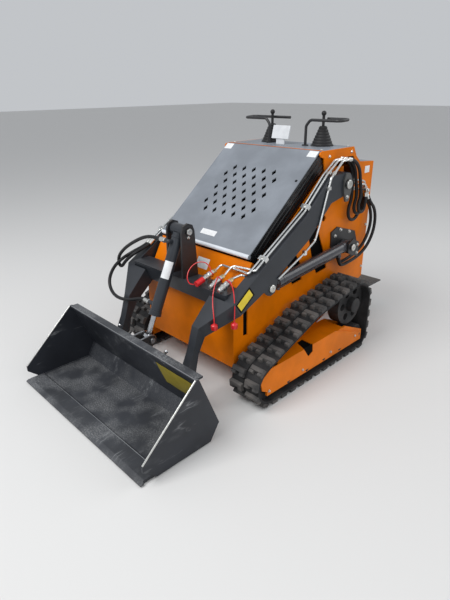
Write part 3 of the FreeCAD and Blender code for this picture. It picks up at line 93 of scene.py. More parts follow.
class Look(Enum):
    """A finish, and the record's material slot that it stands for."""

    ORANGE = ("orange_enamel", "body_paint")
    LIP = ("lip_painted_highlight", "cover_paint")
    ARM = ("arm_enamel", "arm_paint")
    BARREL = ("barrel_enamel", "arm_paint")
    BARREL_PIPE = ("black_enamel", "arm_paint")
    ARM_BORDER = ("label_black", "arm_paint")
    ARM_LABEL = ("label_yellow", "arm_paint")
    BUCKET = ("bucket_steel", "bucket_paint")
    BUCKET_BORDER = ("label_black", "bucket_paint")
    BUCKET_LABEL = ("label_yellow_shaded", "bucket_paint")
    TREAD = ("step_enamel", "bucket_paint")
    ZINC = ("bolt_zinc", "bare_steel")
    RUBBED_AND_HIGHLIGHT = ("edge_wear_and_highlight", "bare_steel")
    BRASS = ("brass", "bare_steel")
    HOSE = ("hose_rubber", "hose_rubber")
    BELT = ("track_rubber", "track_rubber")
    LUG = ("lug_rubber", "track_rubber")
    CAP = ("cap_red", "cap_red")
    LABEL = ("label_white", "pale_label")
    HUB = ("roller_paint", "black_parts")
    FILM = ("skirt_film", "black_parts")
    # Near-black pieces that paint the shade in holes and openings.
    DARK = ("painted_shade_black", "black_parts")
    BOOT = ("boot_rubber", "control_plastic")
    GRIP = ("grip_plastic", "control_plastic")


# Shader graphs


@dataclass(frozen=True)
class Wire:
    """One output socket of a shader graph. Arithmetic on it adds Math nodes."""

    graph: "ShaderGraph"
    socket: bpy.types.NodeSocket

    def maths(self, operation: str, *others: "Wire | float", first: "float | None" = None) -> "Wire":
        """Adds one Math node.

        Args:
            operation: the node's operation.
            others: the operands after this wire.
            first: an operand that comes before this wire.

        Returns:
            The node's output.
        """
        operands = ([] if first is None else [first]) + [self, *others]
        return self.graph.wire("ShaderNodeMath", {"operation": operation}, dict(enumerate(operands)))

    def __add__(self, other: "Wire | float") -> "Wire":
        """This wire plus another value."""
        return self.maths("ADD", other)

    def __sub__(self, other: "Wire | float") -> "Wire":
        """This wire less another value."""
        return self.maths("SUBTRACT", other)

    def __rsub__(self, other: float) -> "Wire":
        """A number less this wire."""
        return self.maths("SUBTRACT", first=other)

    def __mul__(self, other: "Wire | float") -> "Wire":
        """This wire times another value."""
        return self.maths("MULTIPLY", other)

    __radd__ = __add__
    __rmul__ = __mul__

    def between(self, low: float, high: float) -> "Wire":
        """A smooth step that is 0 at low and 1 at high."""
        settings = {"interpolation_type": "SMOOTHSTEP", "clamp": True}
        return self.graph.wire("ShaderNodeMapRange", settings, {0: self, 1: low, 2: high, 3: 0.0, 4: 1.0})


class ShaderGraph:
    """The node tree of one material, made from nothing."""

    def __init__(self, name: str) -> None:
        """Starts an empty tree.

        Args:
            name: the material's name.
        """
        self.material = bpy.data.materials.new(name)
        self.material.use_nodes = True
        self.tree = self.material.node_tree
        self.tree.nodes.clear()
        self.place = self.wire("ShaderNodeTexCoord", {}, {}, "Object")

    def node(self, kind: str, settings: dict, inputs: dict) -> bpy.types.Node:
        """Adds one node.

        Args:
            kind: the node's type.
            settings: its attributes, set first.
            inputs: values or wires by socket name or number.

        Returns:
            The node.
        """
        made = self.tree.nodes.new(kind)
        for key, value in settings.items():
            setattr(made, key, value)
        for key, value in inputs.items():
            if isinstance(value, Wire):
                self.tree.links.new(value.socket, made.inputs[key])
            else:
                made.inputs[key].default_value = value
        return made

    def wire(self, kind: str, settings: dict, inputs: dict, output: str | int = 0) -> Wire:
        """Adds one node and gives one of its outputs."""
        return Wire(self, self.node(kind, settings, inputs).outputs[output])

    def noise(self, scale: float, detail: float = 3.0, stretch: Point = (1.0, 1.0, 1.0)) -> Wire:
        """Cloudy noise on the object's own coordinates.

        Args:
            scale: how fine it is, in features a metre.
            detail: its octaves.
            stretch: factors that scale the coordinates first.

        Returns:
            A value from 0 to 1.
        """
        inputs = {"Vector": self.place, "Scale": stretch}
        placed = self.wire("ShaderNodeMapping", {"vector_type": "POINT"}, inputs)
        inputs = {"Vector": placed, "Scale": scale, "Detail": detail}
        return self.wire("ShaderNodeTexNoise", {"noise_dimensions": "3D"}, inputs)

    def height(self) -> Wire:
        """The height above the ground, in metres."""
        return self.wire("ShaderNodeSeparateXYZ", {}, {0: self.place}, "Z")

    def upward(self) -> Wire:
        """How far the surface faces up: 1 on a floor, 0 on a wall."""
        normal = self.wire("ShaderNodeNewGeometry", {}, {}, "Normal")
        return self.wire("ShaderNodeSeparateXYZ", {}, {0: normal}, "Z")

    def mix(self, mask: Wire, low: "Wire | Point", high: "Wire | Point") -> Wire:
        """Blends two colours.

        Args:
            mask: how much of the second one shows.
            low: the colour where the mask is 0.
            high: the colour where the mask is 1.

        Returns:
            The blend.
        """
        settings = {"data_type": "RGBA", "clamp_factor": True}
        ends = [item if isinstance(item, Wire) else (*item, 1.0) for item in (low, high)]
        return self.wire("ShaderNodeMix", settings, {0: mask, 6: ends[0], 7: ends[1]}, 2)

    def close(self, colour: "Wire | Point", rough: "Wire | float", fixed: dict[str, float] | None = None,
              bump: Wire | None = None, depth: float = 0.0) -> bpy.types.Material:
        """Ends the tree in one surface shader.

        Args:
            colour: base colour.
            rough: roughness.
            fixed: sockets with one number each.
            bump: what the bump follows, if anything.
            depth: how deep the bump is, in metres.

        Returns:
            The finished material.
        """
        base = colour if isinstance(colour, Wire) else (*colour, 1.0)
        inputs = {"Base Color": base, "Roughness": rough, **(fixed or {})}
        if bump is not None:
            settings = {"Strength": 1.0, "Distance": depth, "Height": bump}
            inputs["Normal"] = self.wire("ShaderNodeBump", {}, settings, "Normal")
        shader = self.node("ShaderNodeBsdfPrincipled", {}, inputs)
        self.node("ShaderNodeOutputMaterial", {}, {"Surface": Wire(self, shader.outputs["BSDF"])})
        return self.material


# Finishes

SAND = (0.42, 0.30, 0.19)
TRACK_DUST = (0.20, 0.175, 0.155)
FLOOR_DUST = (0.26, 0.265, 0.27)
RUBBED_PAINT = (0.15, 0.155, 0.165)
BARE_SCRATCH = (0.34, 0.35, 0.36)


def scaled(colour: Point, factor: float, lift: float = 0.0) -> Point:
    """A colour times a factor plus a lift, no channel above 1."""
    return tuple(min(1.0, channel * factor + lift) for channel in colour)


@dataclass(frozen=True)
class Enamel:
    """Sprayed paint on steel, with yard dust that grows towards the ground.

    The dust mask is a smooth step down from dust_top to dust_low, broken up by noise, plus a
    thin film on faces that look up. The bump is the soft waviness of sprayed paint.
    """

    name: str
    colour: Point
    rough: float = 0.36
    coat: float = 0.05
    dust: float = 0.05
    film: float = 0.0
    shine: float = 0.5
    dust_top: float = 0.45
    dust_low: float = 0.02
    waves: float = 0.00035

    def make(self) -> bpy.types.Material:
        """Builds the paint's material.

        Returns:
            The finished material.
        """
        graph = ShaderGraph(self.name)
        clouds = graph.noise(5.5, 4.0)
        specks = graph.noise(60.0)
        colour = graph.mix(clouds.between(0.35, 0.68), scaled(self.colour, 0.86), scaled(self.colour, 1.08))
        low = 1.0 - graph.height().between(self.dust_low, self.dust_top)
        film = graph.upward().between(0.35, 0.95) * self.film
        mask = (low * clouds.between(0.28, 0.75) * self.dust + film) * (0.55 + 0.9 * specks)
        rough = self.rough + 0.10 * (clouds - 0.5) + 0.05 * (specks - 0.5) + 0.35 * mask
        fixed = {"Coat Weight": self.coat, "Coat Roughness": 0.22, "Specular IOR Level": self.shine}
        grain = 0.6 * graph.noise(260.0, 1.0) + 0.4 * clouds
        return graph.close(graph.mix(mask, colour, SAND), rough, fixed, grain, self.waves)


@dataclass(frozen=True)
class DustyRubber:
    """Moulded rubber, dry and grey, with dust in clouds broken up by fine noise."""

    name: str
    colour: Point
    dust: float
    rough: float = 0.78

    def make(self) -> bpy.types.Material:
        """Builds the rubber's material.

        Returns:
            The finished material.
        """
        graph = ShaderGraph(self.name)
        clouds = graph.noise(9.0, 5.0)
        fine = graph.noise(90.0, 4.0)
        colour = graph.mix(clouds.between(0.3, 0.75), self.colour, scaled(self.colour, 1.7, 0.01))
        mask = clouds.between(0.38, 0.72) * (0.35 + fine) * self.dust
        rough = self.rough + 0.15 * (fine - 0.5)
        fixed = {"Specular IOR Level": 0.25}
        return graph.close(graph.mix(mask, colour, TRACK_DUST), rough, fixed, fine, 0.0009)


@dataclass(frozen=True)
class Metal:
    """Plated or polished steel with faint streaks along one axis."""

    name: str
    colour: Point
    rough: float = 0.30
    streak: Point = (1.0, 1.0, 1.0)
    waves: float = 0.00003

    def make(self) -> bpy.types.Material:
        """Builds the metal's material.

        Returns:
            The finished material.
        """
        graph = ShaderGraph(self.name)
        streaks = graph.noise(40.0, 3.0, self.streak)
        colour = graph.mix(streaks.between(0.3, 0.8), self.colour, scaled(self.colour, 0.8))
        rough = self.rough + 0.14 * (streaks - 0.5)
        return graph.close(colour, rough, {"Metallic": 1.0}, streaks, self.waves)


@dataclass(frozen=True)
class Moulded:
    """Plastic, smooth rubber or a printed film, in one colour with a faint unevenness."""

    name: str
    colour: Point
    rough: float = 0.35
    coat: float = 0.2
    shine: float = 0.5

    def make(self) -> bpy.types.Material:
        """Builds the plastic's material.

        Returns:
            The finished material.
        """
        graph = ShaderGraph(self.name)
        clouds = graph.noise(24.0)
        colour = graph.mix(clouds.between(0.35, 0.7), self.colour, scaled(self.colour, 0.88))
        fixed = {"Coat Weight": self.coat, "Specular IOR Level": self.shine}
        return graph.close(colour, self.rough + 0.12 * (clouds - 0.5), fixed, clouds, 0.0002)


@dataclass(frozen=True)
class BucketSteel:
    """The bucket's dark paint: rubbed glossy by loads, scratched, with a dusty film on the floor.

    Scratches are thin lines of stretched noise near its middle value.
    """

    name: str
    colour: Point

    def make(self) -> bpy.types.Material:
        """Builds the bucket's material.

        Returns:
            The finished material.
        """
        graph = ShaderGraph(self.name)
        clouds = graph.noise(4.0, 5.0)
        worn = graph.noise(11.0, 6.0, (1.0, 0.45, 1.0))
        lines = graph.noise(34.0, 4.0, (1.0, 0.08, 0.3))
        scratch = (1.0 - (lines - 0.5).maths("ABSOLUTE").between(0.0, 0.02)) * worn.between(0.52, 0.7)
        colour = graph.mix(clouds.between(0.3, 0.7), self.colour, scaled(self.colour, 1.6))
        colour = graph.mix(worn.between(0.55, 0.75) * 0.30, colour, RUBBED_PAINT)
        colour = graph.mix(scratch * 0.5, colour, BARE_SCRATCH)
        grain = graph.noise(150.0).between(0.42, 0.66)
        patches = graph.noise(7.0, 4.0).between(0.36, 0.64)
        dust = graph.upward().between(0.25, 0.95) * (0.16 + patches * (0.25 + 0.85 * grain)) * 0.5
        rough = 0.28 + 0.20 * worn + 0.20 * dust
        fixed = {"Coat Weight": 0.04, "Coat Roughness": 0.3, "Specular IOR Level": 0.3}
        return graph.close(graph.mix(dust, colour, FLOOR_DUST), rough, fixed, worn, 0.0006)


FINISHES: dict[str, bpy.types.Material] = {finish.name: finish.make() for finish in (
    Enamel("orange_enamel", (0.72, 0.172, 0.0005), coat=0.03, dust=0.04, dust_top=0.3, shine=0.12),
    Enamel("arm_enamel", (0.030, 0.034, 0.041), rough=0.34, coat=0.08, dust=0.06, film=0.01, shine=0.28),
    Enamel("keeper_enamel", (0.085, 0.086, 0.084), rough=0.4, shine=0.4),
    Enamel("barrel_enamel", (0.046, 0.047, 0.056), rough=0.26, coat=0.3),
    Enamel("hood_enamel", (0.215, 0.235, 0.265), rough=0.44, coat=0.03, dust=0.1, dust_top=0.3, shine=0.25),
    Enamel("black_enamel", (0.017, 0.017, 0.019), rough=0.42, coat=0.1, dust=0.2, film=0.04),
    Enamel("step_enamel", (0.035, 0.036, 0.039), rough=0.5, dust=0.25, film=0.06, dust_top=0.5),
    Enamel("skirt_film", (0.009, 0.009, 0.010), rough=0.2, coat=0.3, dust=0.1),
    Enamel("engine_enamel", (0.012, 0.012, 0.013), rough=0.6, coat=0.0, dust=0.2, film=0.1),
    # A pale blue-white far lighter than the grey hood: a painted highlight along the rolled lip.
    Enamel("lip_painted_highlight", (0.72, 0.75, 0.80), rough=0.24, coat=0.4),
    BucketSteel("bucket_steel", (0.017, 0.019, 0.024)),
    DustyRubber("track_rubber", (0.012, 0.012, 0.013), dust=0.05),
    DustyRubber("lug_rubber", (0.045, 0.044, 0.044), dust=0.42),
    DustyRubber("roller_paint", (0.018, 0.018, 0.019), dust=0.12, rough=0.6),
    Metal("rod_chrome", (0.62, 0.63, 0.65), 0.14, waves=0.0),
    Metal("pipe_zinc", (0.83, 0.84, 0.83), 0.24, (1.0, 0.3, 0.3)),
    Metal("bolt_zinc", (0.70, 0.70, 0.67)),
    Metal("brass", (0.66, 0.52, 0.30)),
    # Bright edge steel: partly rubbed bare steel, partly a painted highlight along edges.
    Metal("edge_wear_and_highlight", (0.42, 0.43, 0.45), 0.34, (1.0, 0.2, 1.0)),
    Moulded("hose_rubber", (0.012, 0.012, 0.013), 0.42, 0.0, 0.28),
    Moulded("boot_rubber", (0.016, 0.016, 0.017), 0.5, 0.0, 0.35),
    Moulded("grip_plastic", (0.020, 0.020, 0.022), 0.40, 0.0),
    Moulded("cap_red", (0.62, 0.012, 0.016)),
    Moulded("label_white", (0.80, 0.81, 0.82)),
    Moulded("label_yellow", (0.82, 0.62, 0.02)),
    # The bucket label's yellow, darkened as painted shade.
    Moulded("label_yellow_shaded", (0.36, 0.28, 0.015)),
    Moulded("label_black", (0.008, 0.008, 0.008), 0.6, 0.0, 0.1),
    Moulded("panel_pale", (0.70, 0.72, 0.74), 0.28, 0.3),
    # Near-black for holes, slots, notches and openings: painted shade.
    Moulded("painted_shade_black", (0.004, 0.004, 0.004), 0.9, 0.0, 0.05),
)}


# Surfaces worked out with numpy


@dataclass
class Surface:
    """Points in millimetres and the faces that join them."""

    points: np.ndarray
    faces: list[tuple[int, ...]]

    def __add__(self, other: "Surface") -> "Surface":
        """Both surfaces in one."""
        return joined([self, other])

    def mirrored(self) -> "Surface":
        """The same surface on the other side of the machine, faces still outwards."""
        return Surface(self.points * np.array([-1.0, 1.0, 1.0]), [face[::-1] for face in self.faces])

    def paired(self) -> "Surface":
        """The surface and its mirror image in one."""
        return self + self.mirrored()

    def on(self, side: Side) -> "Surface":
        """The left side's surface as it is, or mirrored for the right side."""
        return self if side is Side.LEFT else self.mirrored()


def unit(vectors: "np.ndarray | Point") -> np.ndarray:
    """Vectors of length one along the last axis."""
    values = np.asarray(vectors, float)
    return values / np.maximum(np.linalg.norm(values, axis=-1, keepdims=True), 1e-12)


def joined(parts: list[Surface]) -> Surface:
    """Several surfaces as one.

    Args:
        parts: the surfaces.

    Returns:
        All their points, and their faces with the numbers shifted to match.
    """
    starts = np.cumsum([0] + [len(part.points) for part in parts[:-1]]).tolist()
    faces = [tuple(corner + start for corner in face)
             for part, start in zip(parts, starts) for face in part.faces]
    return Surface(np.vstack([part.points for part in parts]), faces)


def stack(rings: np.ndarray, capped: bool = True) -> Surface:
    """A skin over a pile of closed rings.

    Ring k and ring k+1 are joined by four-cornered faces, point i to i+1. With caps, the first
    and the last ring are closed by a fan round their mean point.

    Args:
        rings: array of shape (rings, points, 3), anticlockwise seen from the last ring.
        capped: whether the ends are closed.

    Returns:
        The surface.
    """
    count, size = rings.shape[:2]
    here = np.arange(size)
    there = (here + 1) % size
    foot = np.arange(count - 1)[:, None] * size
    quads = np.stack([foot + here, foot + there, foot + size + there, foot + size + here], -1)
    faces = [tuple(quad) for quad in quads.reshape(-1, 4).tolist()]
    points = rings.reshape(-1, 3)
    if capped:
        low, top = len(points), (count - 1) * size
        faces += [(low, b, a) for a, b in zip(here.tolist(), there.tolist())]
        faces += [(low + 1, top + a, top + b) for a, b in zip(here.tolist(), there.tolist())]
        points = np.vstack([points, rings[0].mean(0), rings[-1].mean(0)])
    return Surface(points, faces)


def outward(surface: Surface) -> Surface:
    """The same closed surface, turned over where its faces look inwards.

    The signed volume is the sum over all faces of a . (b x c) / 6 for each triangle of its fan.

    Args:
        surface: the closed surface.

    Returns:
        The surface with its faces outwards.
    """
    volume = 0.0
    points = surface.points - surface.points.mean(0)
    for size in {len(face) for face in surface.faces}:
        corners = points[np.array([face for face in surface.faces if len(face) == size])]
        for step in range(1, size - 1):
            cross = np.cross(corners[:, step], corners[:, step + 1])
            volume += float((corners[:, 0] * cross).sum())
    return surface if volume > 0 else Surface(surface.points, [face[::-1] for face in surface.faces])


def basis(normal: Point, hint: Point | None = None) -> tuple[np.ndarray, np.ndarray, np.ndarray]:
    """Three unit vectors: across, up and the normal, right-handed.

    Args:
        normal: the third vector's direction.
        hint: roughly the first vector's direction.

    Returns:
        across, up, normal.
    """
    out = unit(normal)
    start = np.array(hint or (OUT if abs(out[0]) < 0.8 else BACK), float)
    across = unit(start - out * (start @ out))
    return across, np.cross(out, across), out


def circle(sides: int, across: np.ndarray, up: np.ndarray) -> np.ndarray:
    """Points of a circle of radius one: cos t across + sin t up, for turns t in equal steps."""
    turn = (np.arange(sides) * TURN / sides)[:, None]
    return np.cos(turn) * across + np.sin(turn) * up


def turned(profile: list[Spot], centre: Point, axis: Point, sides: int = 24) -> Surface:
    """A solid of revolution.

    The point at turn t of ring k is centre + radius_k (cos t across + sin t up) + height_k axis.

    Args:
        profile: (radius, height) from the low end to the high end.
        centre: where height 0 lies on the axis.
        axis: the direction of height.
        sides: points round each ring.

    Returns:
        The surface.
    """
    across, up, out = basis(axis)
    radius, height = np.array(profile, float).T[:, :, None, None]
    return stack(np.array(centre, float) + radius * circle(sides, across, up) + height * out)


def hex_bolts(places: list[Point], normal: Point, across_flats: float) -> Surface:
    """Hexagon bolt heads on round washers.

    One template, a washer of revolution with a six-sided head whose top edge is chamfered, is
    copied to every place by adding the places to its points.

    Args:
        places: the middle of each washer's underside.
        normal: the way the heads look.
        across_flats: the head's width.

    Returns:
        The surface.
    """
    half, tall = across_flats / math.sqrt(3), across_flats * 0.52
    washer = turned([(half * 1.25, 0.0), (half * 1.25, 1.6), (half * 1.15, 2.0)], (0, 0, 0), normal, 18)
    head = turned([(half, 1.5), (half, tall), (half * 0.86, across_flats * 0.62)], (0, 0, 0), normal, 6)
    template = washer + head
    return joined([Surface(template.points + np.array(place, float), template.faces) for place in places])


def pin_end(radius: float, tall: float, bevel: float, dimple: float, deep: float) -> list[Spot]:
    """The profile of a pin's end: a short cylinder, a bevel and a round dimple in its face."""
    top = tall + bevel
    return [(radius, 0), (radius, tall), (radius - bevel, top), (dimple, top), (dimple, top - deep)]


def flowing(points: list[Point], rounds: int = 3) -> np.ndarray:
    """A smooth path by cutting corners: each round puts two points on every run, at 1/4 and 3/4.

    Args:
        points: corners of the route.
        rounds: how many times the corners are cut.

    Returns:
        Points of the path, the two ends kept.
    """
    path = np.array(points, float)
    for _ in range(rounds):
        first, last = path[:-1], path[1:]
        cut = np.stack([0.75 * first + 0.25 * last, 0.25 * first + 0.75 * last], 1).reshape(-1, 3)
        path = np.vstack([path[:1], cut, path[-1:]])
    return path


def measured(name: str, path: np.ndarray) -> np.ndarray:
    """Logs the length of a cord's path in millimetres and hands the path on."""
    log.info("cord %s is %.0f mm long", name, float(np.linalg.norm(np.diff(path, axis=0), axis=1).sum()))
    return path


def swept(path: "np.ndarray | list[Point]", radius: float | np.ndarray, sides: int = 8) -> Surface:
    """A round tube along a path.

    Each ring lies across the path's tangent. Its first direction is the tangent crossed with one
    fixed reference, the one of several that is furthest from every tangent, so no ring twists.

    Args:
        path: points of the middle line.
        radius: one radius, or one for each point.
        sides: points round each ring.

    Returns:
        The surface.
    """
    line = np.array(path, float)
    tangent = unit(np.gradient(line, axis=0))
    steps = (-1, 0, 1)
    grid = unit([(a, b, c) for a in steps for b in steps for c in (0, 1) if (a, b, c) != (0, 0, 0)])
    sine = np.linalg.norm(np.cross(tangent[:, None], grid[None]), axis=-1)
    across = unit(np.cross(np.broadcast_to(grid[sine.min(0).argmax()], tangent.shape), tangent))
    up = np.cross(tangent, across)
    size = np.broadcast_to(np.asarray(radius, float), len(line))[:, None, None]
    return stack(line[:, None] + size * circle(sides, across[:, None], up[:, None]))


def flat_label(centre: Point, normal: Point, hint: Point, width: float, height: float,
               thick: float = 0.5, corner: float = 2.0) -> Surface:
    """A thin sheet with round corners that lies on a flat face.

    Its outline is a rectangle less its corners plus quarter circles, sampled round; the rings are
    the outline at the bottom, at the top, and a little smaller on top.

    Args:
        centre: the middle of its underside.
        normal: the way it looks.
        hint: the direction of its width.
        width: along the hint.
        height: across the hint.
        thick: of the sheet.
        corner: radius of its corners.

    Returns:
        The surface.
    """
    across, up, out = basis(normal, hint)
    turn = (np.arange(32) + 0.5) * TURN / 32
    x = np.sign(np.cos(turn)) * (width / 2 - corner) + corner * np.cos(turn)
    y = np.sign(np.sin(turn)) * (height / 2 - corner) + corner * np.sin(turn)
    outline = x[:, None] * across + y[:, None] * up
    levels = ((1.0, 0.0), (1.0, thick * 0.7), (0.985, thick))
    return stack(np.stack([np.array(centre, float) + outline * share + out * rise for share, rise in levels]))


def prism(outline: list[Spot], axis: str, low: float, high: float) -> Surface:
    """A flat outline pushed along one axis.

    Args:
        outline: corners in the two other coordinates, anticlockwise seen from the high end.
        axis: "X", "Y" or "Z", the axis that it is pushed along.
        low: start along the axis.
        high: end along the axis.

    Returns:
        The surface.
    """
    flat, third = np.array(outline, float), "XYZ".index(axis)
    return stack(np.stack([np.insert(flat, third, level, axis=1) for level in (low, high)]))


def piece(name: str, surface: Surface, look: Look, body: Body,
          smooth: float | None = 40.0) -> bpy.types.Object:
    """Puts a surface into the scene as one named piece.

    Args:
        name: the object's name.
        surface: its shape, in millimetres of the row frame.
        look: its finish.
        body: what it rides on.
        smooth: faces that meet at less than this angle are shaded as one; None leaves them flat.

    Returns:
        The object.
    """
    finish, slot = look.value
    mesh = bpy.data.meshes.new(name)
    mesh.from_pydata((surface.points * MM).tolist(), [], surface.faces)
    mesh.update()
    thing = bpy.data.objects.new(name, mesh)
    bpy.context.scene.collection.objects.link(thing)
    mesh.materials.append(FINISHES[finish])
    if smooth is not None:
        mesh.shade_smooth()
        mesh.set_sharp_from_angle(angle=math.radians(smooth))
    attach(thing, body.value)
    log.info("%s: %d faces on %s", name, len(mesh.polygons), body.value)
    return thing


HOSE_RADIUS = 9.5


def hose(name: str, route: list[Point], bodies: tuple[Body, Body],
         start: Point, end: Point) -> bpy.types.Object:
    """A rubber hose along a route, its length logged, first attached to a body and then taken off it with its
    place baked in.

    Args:
        name: the object's name.
        route: corners of its middle line, in millimetres.
        bodies: a pair; the first is the body that it is attached to before it is taken off.
        start: a point in millimetres; not used.
        end: a point in millimetres; not used.

    Returns:
        The object.
    """
    thing = piece(name, swept(measured(name, flowing(route)), HOSE_RADIUS, 14), Look.HOSE, bodies[0])
    thing.parent = None
    first, last = (tuple(value * MM for value in point) for point in (start, end))
    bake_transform(thing)
    return thing


def signed(side: Side, points: list[Point]) -> list[Point]:
    """Points of the left side, or the same points on the right."""
    return [(side.value * x, y, z) for x, y, z in points]


# Profiles of the fittings, as (radius, height)

PORT_NUT = [(11, 0), (12, 1.5), (12, 9), (10, 11)]
HOSE_NUT = [(12, 0), (13, 1.5), (13, 11), (12, 12.5)]
PIPE_NUT = [(7, 0), (10, 1), (10, 20), (7, 21)]
BODY_SLEEVE = [(8.6, 0), (11.5, 1.5), (11.5, 24), (10, 26), (10, 34)]
ARM_SLEEVE = [(8.6, 0), (11.5, 1.5), (11.5, 22), (9, 24)]
SIDE_SLEEVE = [(9.7, 0), (11.5, 1.5), (11.5, 24), (9, 26)]
TILT_SLEEVE = [(9.6, 0), (12.5, 1.5), (12.5, 26), (9.8, 28)]
TILT_NUT = [(13, -14), (14, -12), (14, -2), (13, 0)]
TILT_PIPE_END = [(8, -14), (11, -12), (11, 0), (12.5, 1.5), (12.5, 26), (9.8, 28)]


# The frame's own nodes get their finishes

NODE_FINISHES: dict[str, str] = {
    "orange_enamel": "side_plate_left side_plate_right nose_panel belly_pan tail_panel "
                     "track_frames track_covers",
    "hood_enamel": "deck_cover hood_cover",
    "skirt_film": "hood_skirts",
    "arm_enamel": "arm_left arm_right cross_tube tilt_barrel hood_hinge_pins",
    "barrel_enamel": "lift_barrel_left lift_barrel_right",
    "keeper_enamel": "arm_keepers",
    "black_enamel": "tilt_ears lift_brackets arm_pivots attach_plate step_brackets",
    "engine_enamel": "engine_block drive_motors",
    "rod_chrome": "lift_rod_left lift_rod_right tilt_rod",
    "pipe_zinc": "arm_pipes couplers",
    "cap_red": "coupler_cap",
    "hose_rubber": "arm_hoses body_hoses tilt_hoses",
    "track_rubber": "track_left track_right",
    "roller_paint": "track_rollers_left track_rollers_right drive_wheels",
    "bucket_steel": "bucket_shell bucket_sides cutting_edge",
    "step_enamel": "operator_step",
    "boot_rubber": "control_sticks",
    "grip_plastic": "grip_loops",
    "panel_pale": "display_panel",
}


def dress_frame() -> None:
    """Gives every node of the frame its finish."""
    for finish, names in NODE_FINISHES.items():
        for name in names.split():
            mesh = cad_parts[name].data
            mesh.materials.clear()
            mesh.materials.append(FINISHES[finish])


# Sub-assemblies


@dataclass
class HoodDress:
    """Blank labels, a black disc of painted shade for the latch hole, edge seals, a rolled lip painted pale
    as a highlight, a black sheet of painted shade under the holes and the skirts' film.

    Front and back are the (y, z) ends of the hood's sloping face; places on it are (x, distance
    up the slope).
    """

    front: Spot = (-282.0, 744.0)
    back: Spot = (259.0, 1190.0)
    half: float = 345.0
    label: Spot = (-4, 67)
    label_size: Spot = (114, 33)
    corner_labels: tuple[Spot, ...] = ((-314, 678), (311, 678))
    corner_size: Spot = (58, 42)
    latch: Spot = (322, 490)
    latch_radius: float = 7.5
    seal_inset: float = 3.5
    seal_depth: float = 7.5
    seal_radius: float = 3.2
    seal_span: Spot = (22, 688)
    lip_radius: float = 11.7
    lip_half: float = 344
    shade_sheet_middle: Spot = (0, 370)
    shade_sheet_size: Spot = (470, 400)
    shade_sheet_depth: float = 34
    film_start: Spot = (24.0, 7.0)
    film_size: Spot = (658.0, 88.0)

    @property
    def slope(self) -> Point:
        """The way up the hood's face."""
        return (0.0, self.back[0] - self.front[0], self.back[1] - self.front[1])

    @property
    def normal(self) -> Point:
        """The way that the hood's face looks."""
        return (0.0, -self.slope[2], self.slope[1])

    def on_slope(self, place: Spot) -> Point:
        """The point of the hood's face at (x, distance up the slope from the front edge)."""
        rise = unit(self.slope) * place[1]
        return (place[0], self.front[0] + float(rise[1]), self.front[1] + float(rise[2]))

    def build(self) -> None:
        """Makes the hood's pieces."""
        for name, places, size in (("hood_label", (self.label,), self.label_size),
                                   ("hood_corner_labels", self.corner_labels, self.corner_size)):
            sheets = [flat_label(self.on_slope(place), self.normal, OUT, *size) for place in places]
            piece(name, joined(sheets), Look.LABEL, Body.HOOD)
        # The latch hole is a flat black disc: painted shade in the hole.
        rim = [(self.latch_radius, 0.0), (self.latch_radius, 0.4)]
        hole = turned(rim, self.on_slope(self.latch), self.normal, 20)
        piece("hood_latch_hole_shade", hole, Look.DARK, Body.HOOD)
        self.edge_seals()
        self.lip_and_shade_sheet()
        self.skirt_folds()

    def edge_seals(self) -> None:
        """A black rubber seal bead down each long edge, under the sheet."""
        beads = []
        for x in (self.half - self.seal_inset, self.seal_inset - self.half):
            line = np.array([self.on_slope((x, distance)) for distance in np.linspace(*self.seal_span, 12)])
            beads.append(swept(line - unit(self.normal) * self.seal_depth, self.seal_radius))
        piece("hood_edge_seals", joined(beads), Look.FILM, Body.HOOD)

    def lip_and_shade_sheet(self) -> None:
        """The rolled front edge, painted pale as a highlight, and a black sheet of painted shade under the
        holes.
        """
        ends = [(self.lip_radius, -self.lip_half), (self.lip_radius, self.lip_half)]
        # The lip's pale colour is a painted highlight on the rolled edge.
        lip = turned(ends, (0, self.front[0] + 2, self.front[1] - 8), OUT, 28)
        piece("hood_rolled_lip", lip, Look.LIP, Body.HOOD)
        # A black sheet under the hood's holes: painted shade.
        centre = np.array(self.on_slope(self.shade_sheet_middle)) - unit(self.normal) * self.shade_sheet_depth
        shade_sheet = flat_label(centre, self.normal, OUT, *self.shade_sheet_size, 1.0, 10)
        piece("hood_painted_shade_sheet", shade_sheet, Look.DARK, Body.HOOD)

    def skirt_folds(self) -> None:
        """Glossy film over each skirt, creased along its length.

        With u along the slope and v across it, both 0 to 1, the film stands off the skirt by
        1.6 + 0.7 sin(21 v + 2.5 sin(5 u)) + 0.5 sin(43 v + 9 u + 2 sin(7 u)), kept over 0.3 mm.
        """
        u, v = np.meshgrid(np.linspace(0, 1, 90), np.linspace(0, 1, 36), indexing="ij")
        creases = 0.5 * np.sin(43 * v + 9 * u + 2 * np.sin(7 * u))
        off = 1.6 + 0.7 * np.sin(21 * v + 2.5 * np.sin(5 * u)) + creases
        along = (self.film_start[0] + u[..., None] * self.film_size[0]) * unit(self.slope)
        down = (self.film_start[1] + v[..., None] * self.film_size[1]) * -unit(self.normal)
        middle = np.array([0.0, *self.front]) + along + down
        outer = middle + np.array(OUT) * (self.half + np.maximum(off, 0.3))[..., None]
        inner = middle + np.array(OUT) * (self.half - 1.0)
        film = stack(np.concatenate([outer, inner[:, ::-1]], 1))
        piece("hood_skirt_film", film.paired(), Look.FILM, Body.HOOD, 60.0)


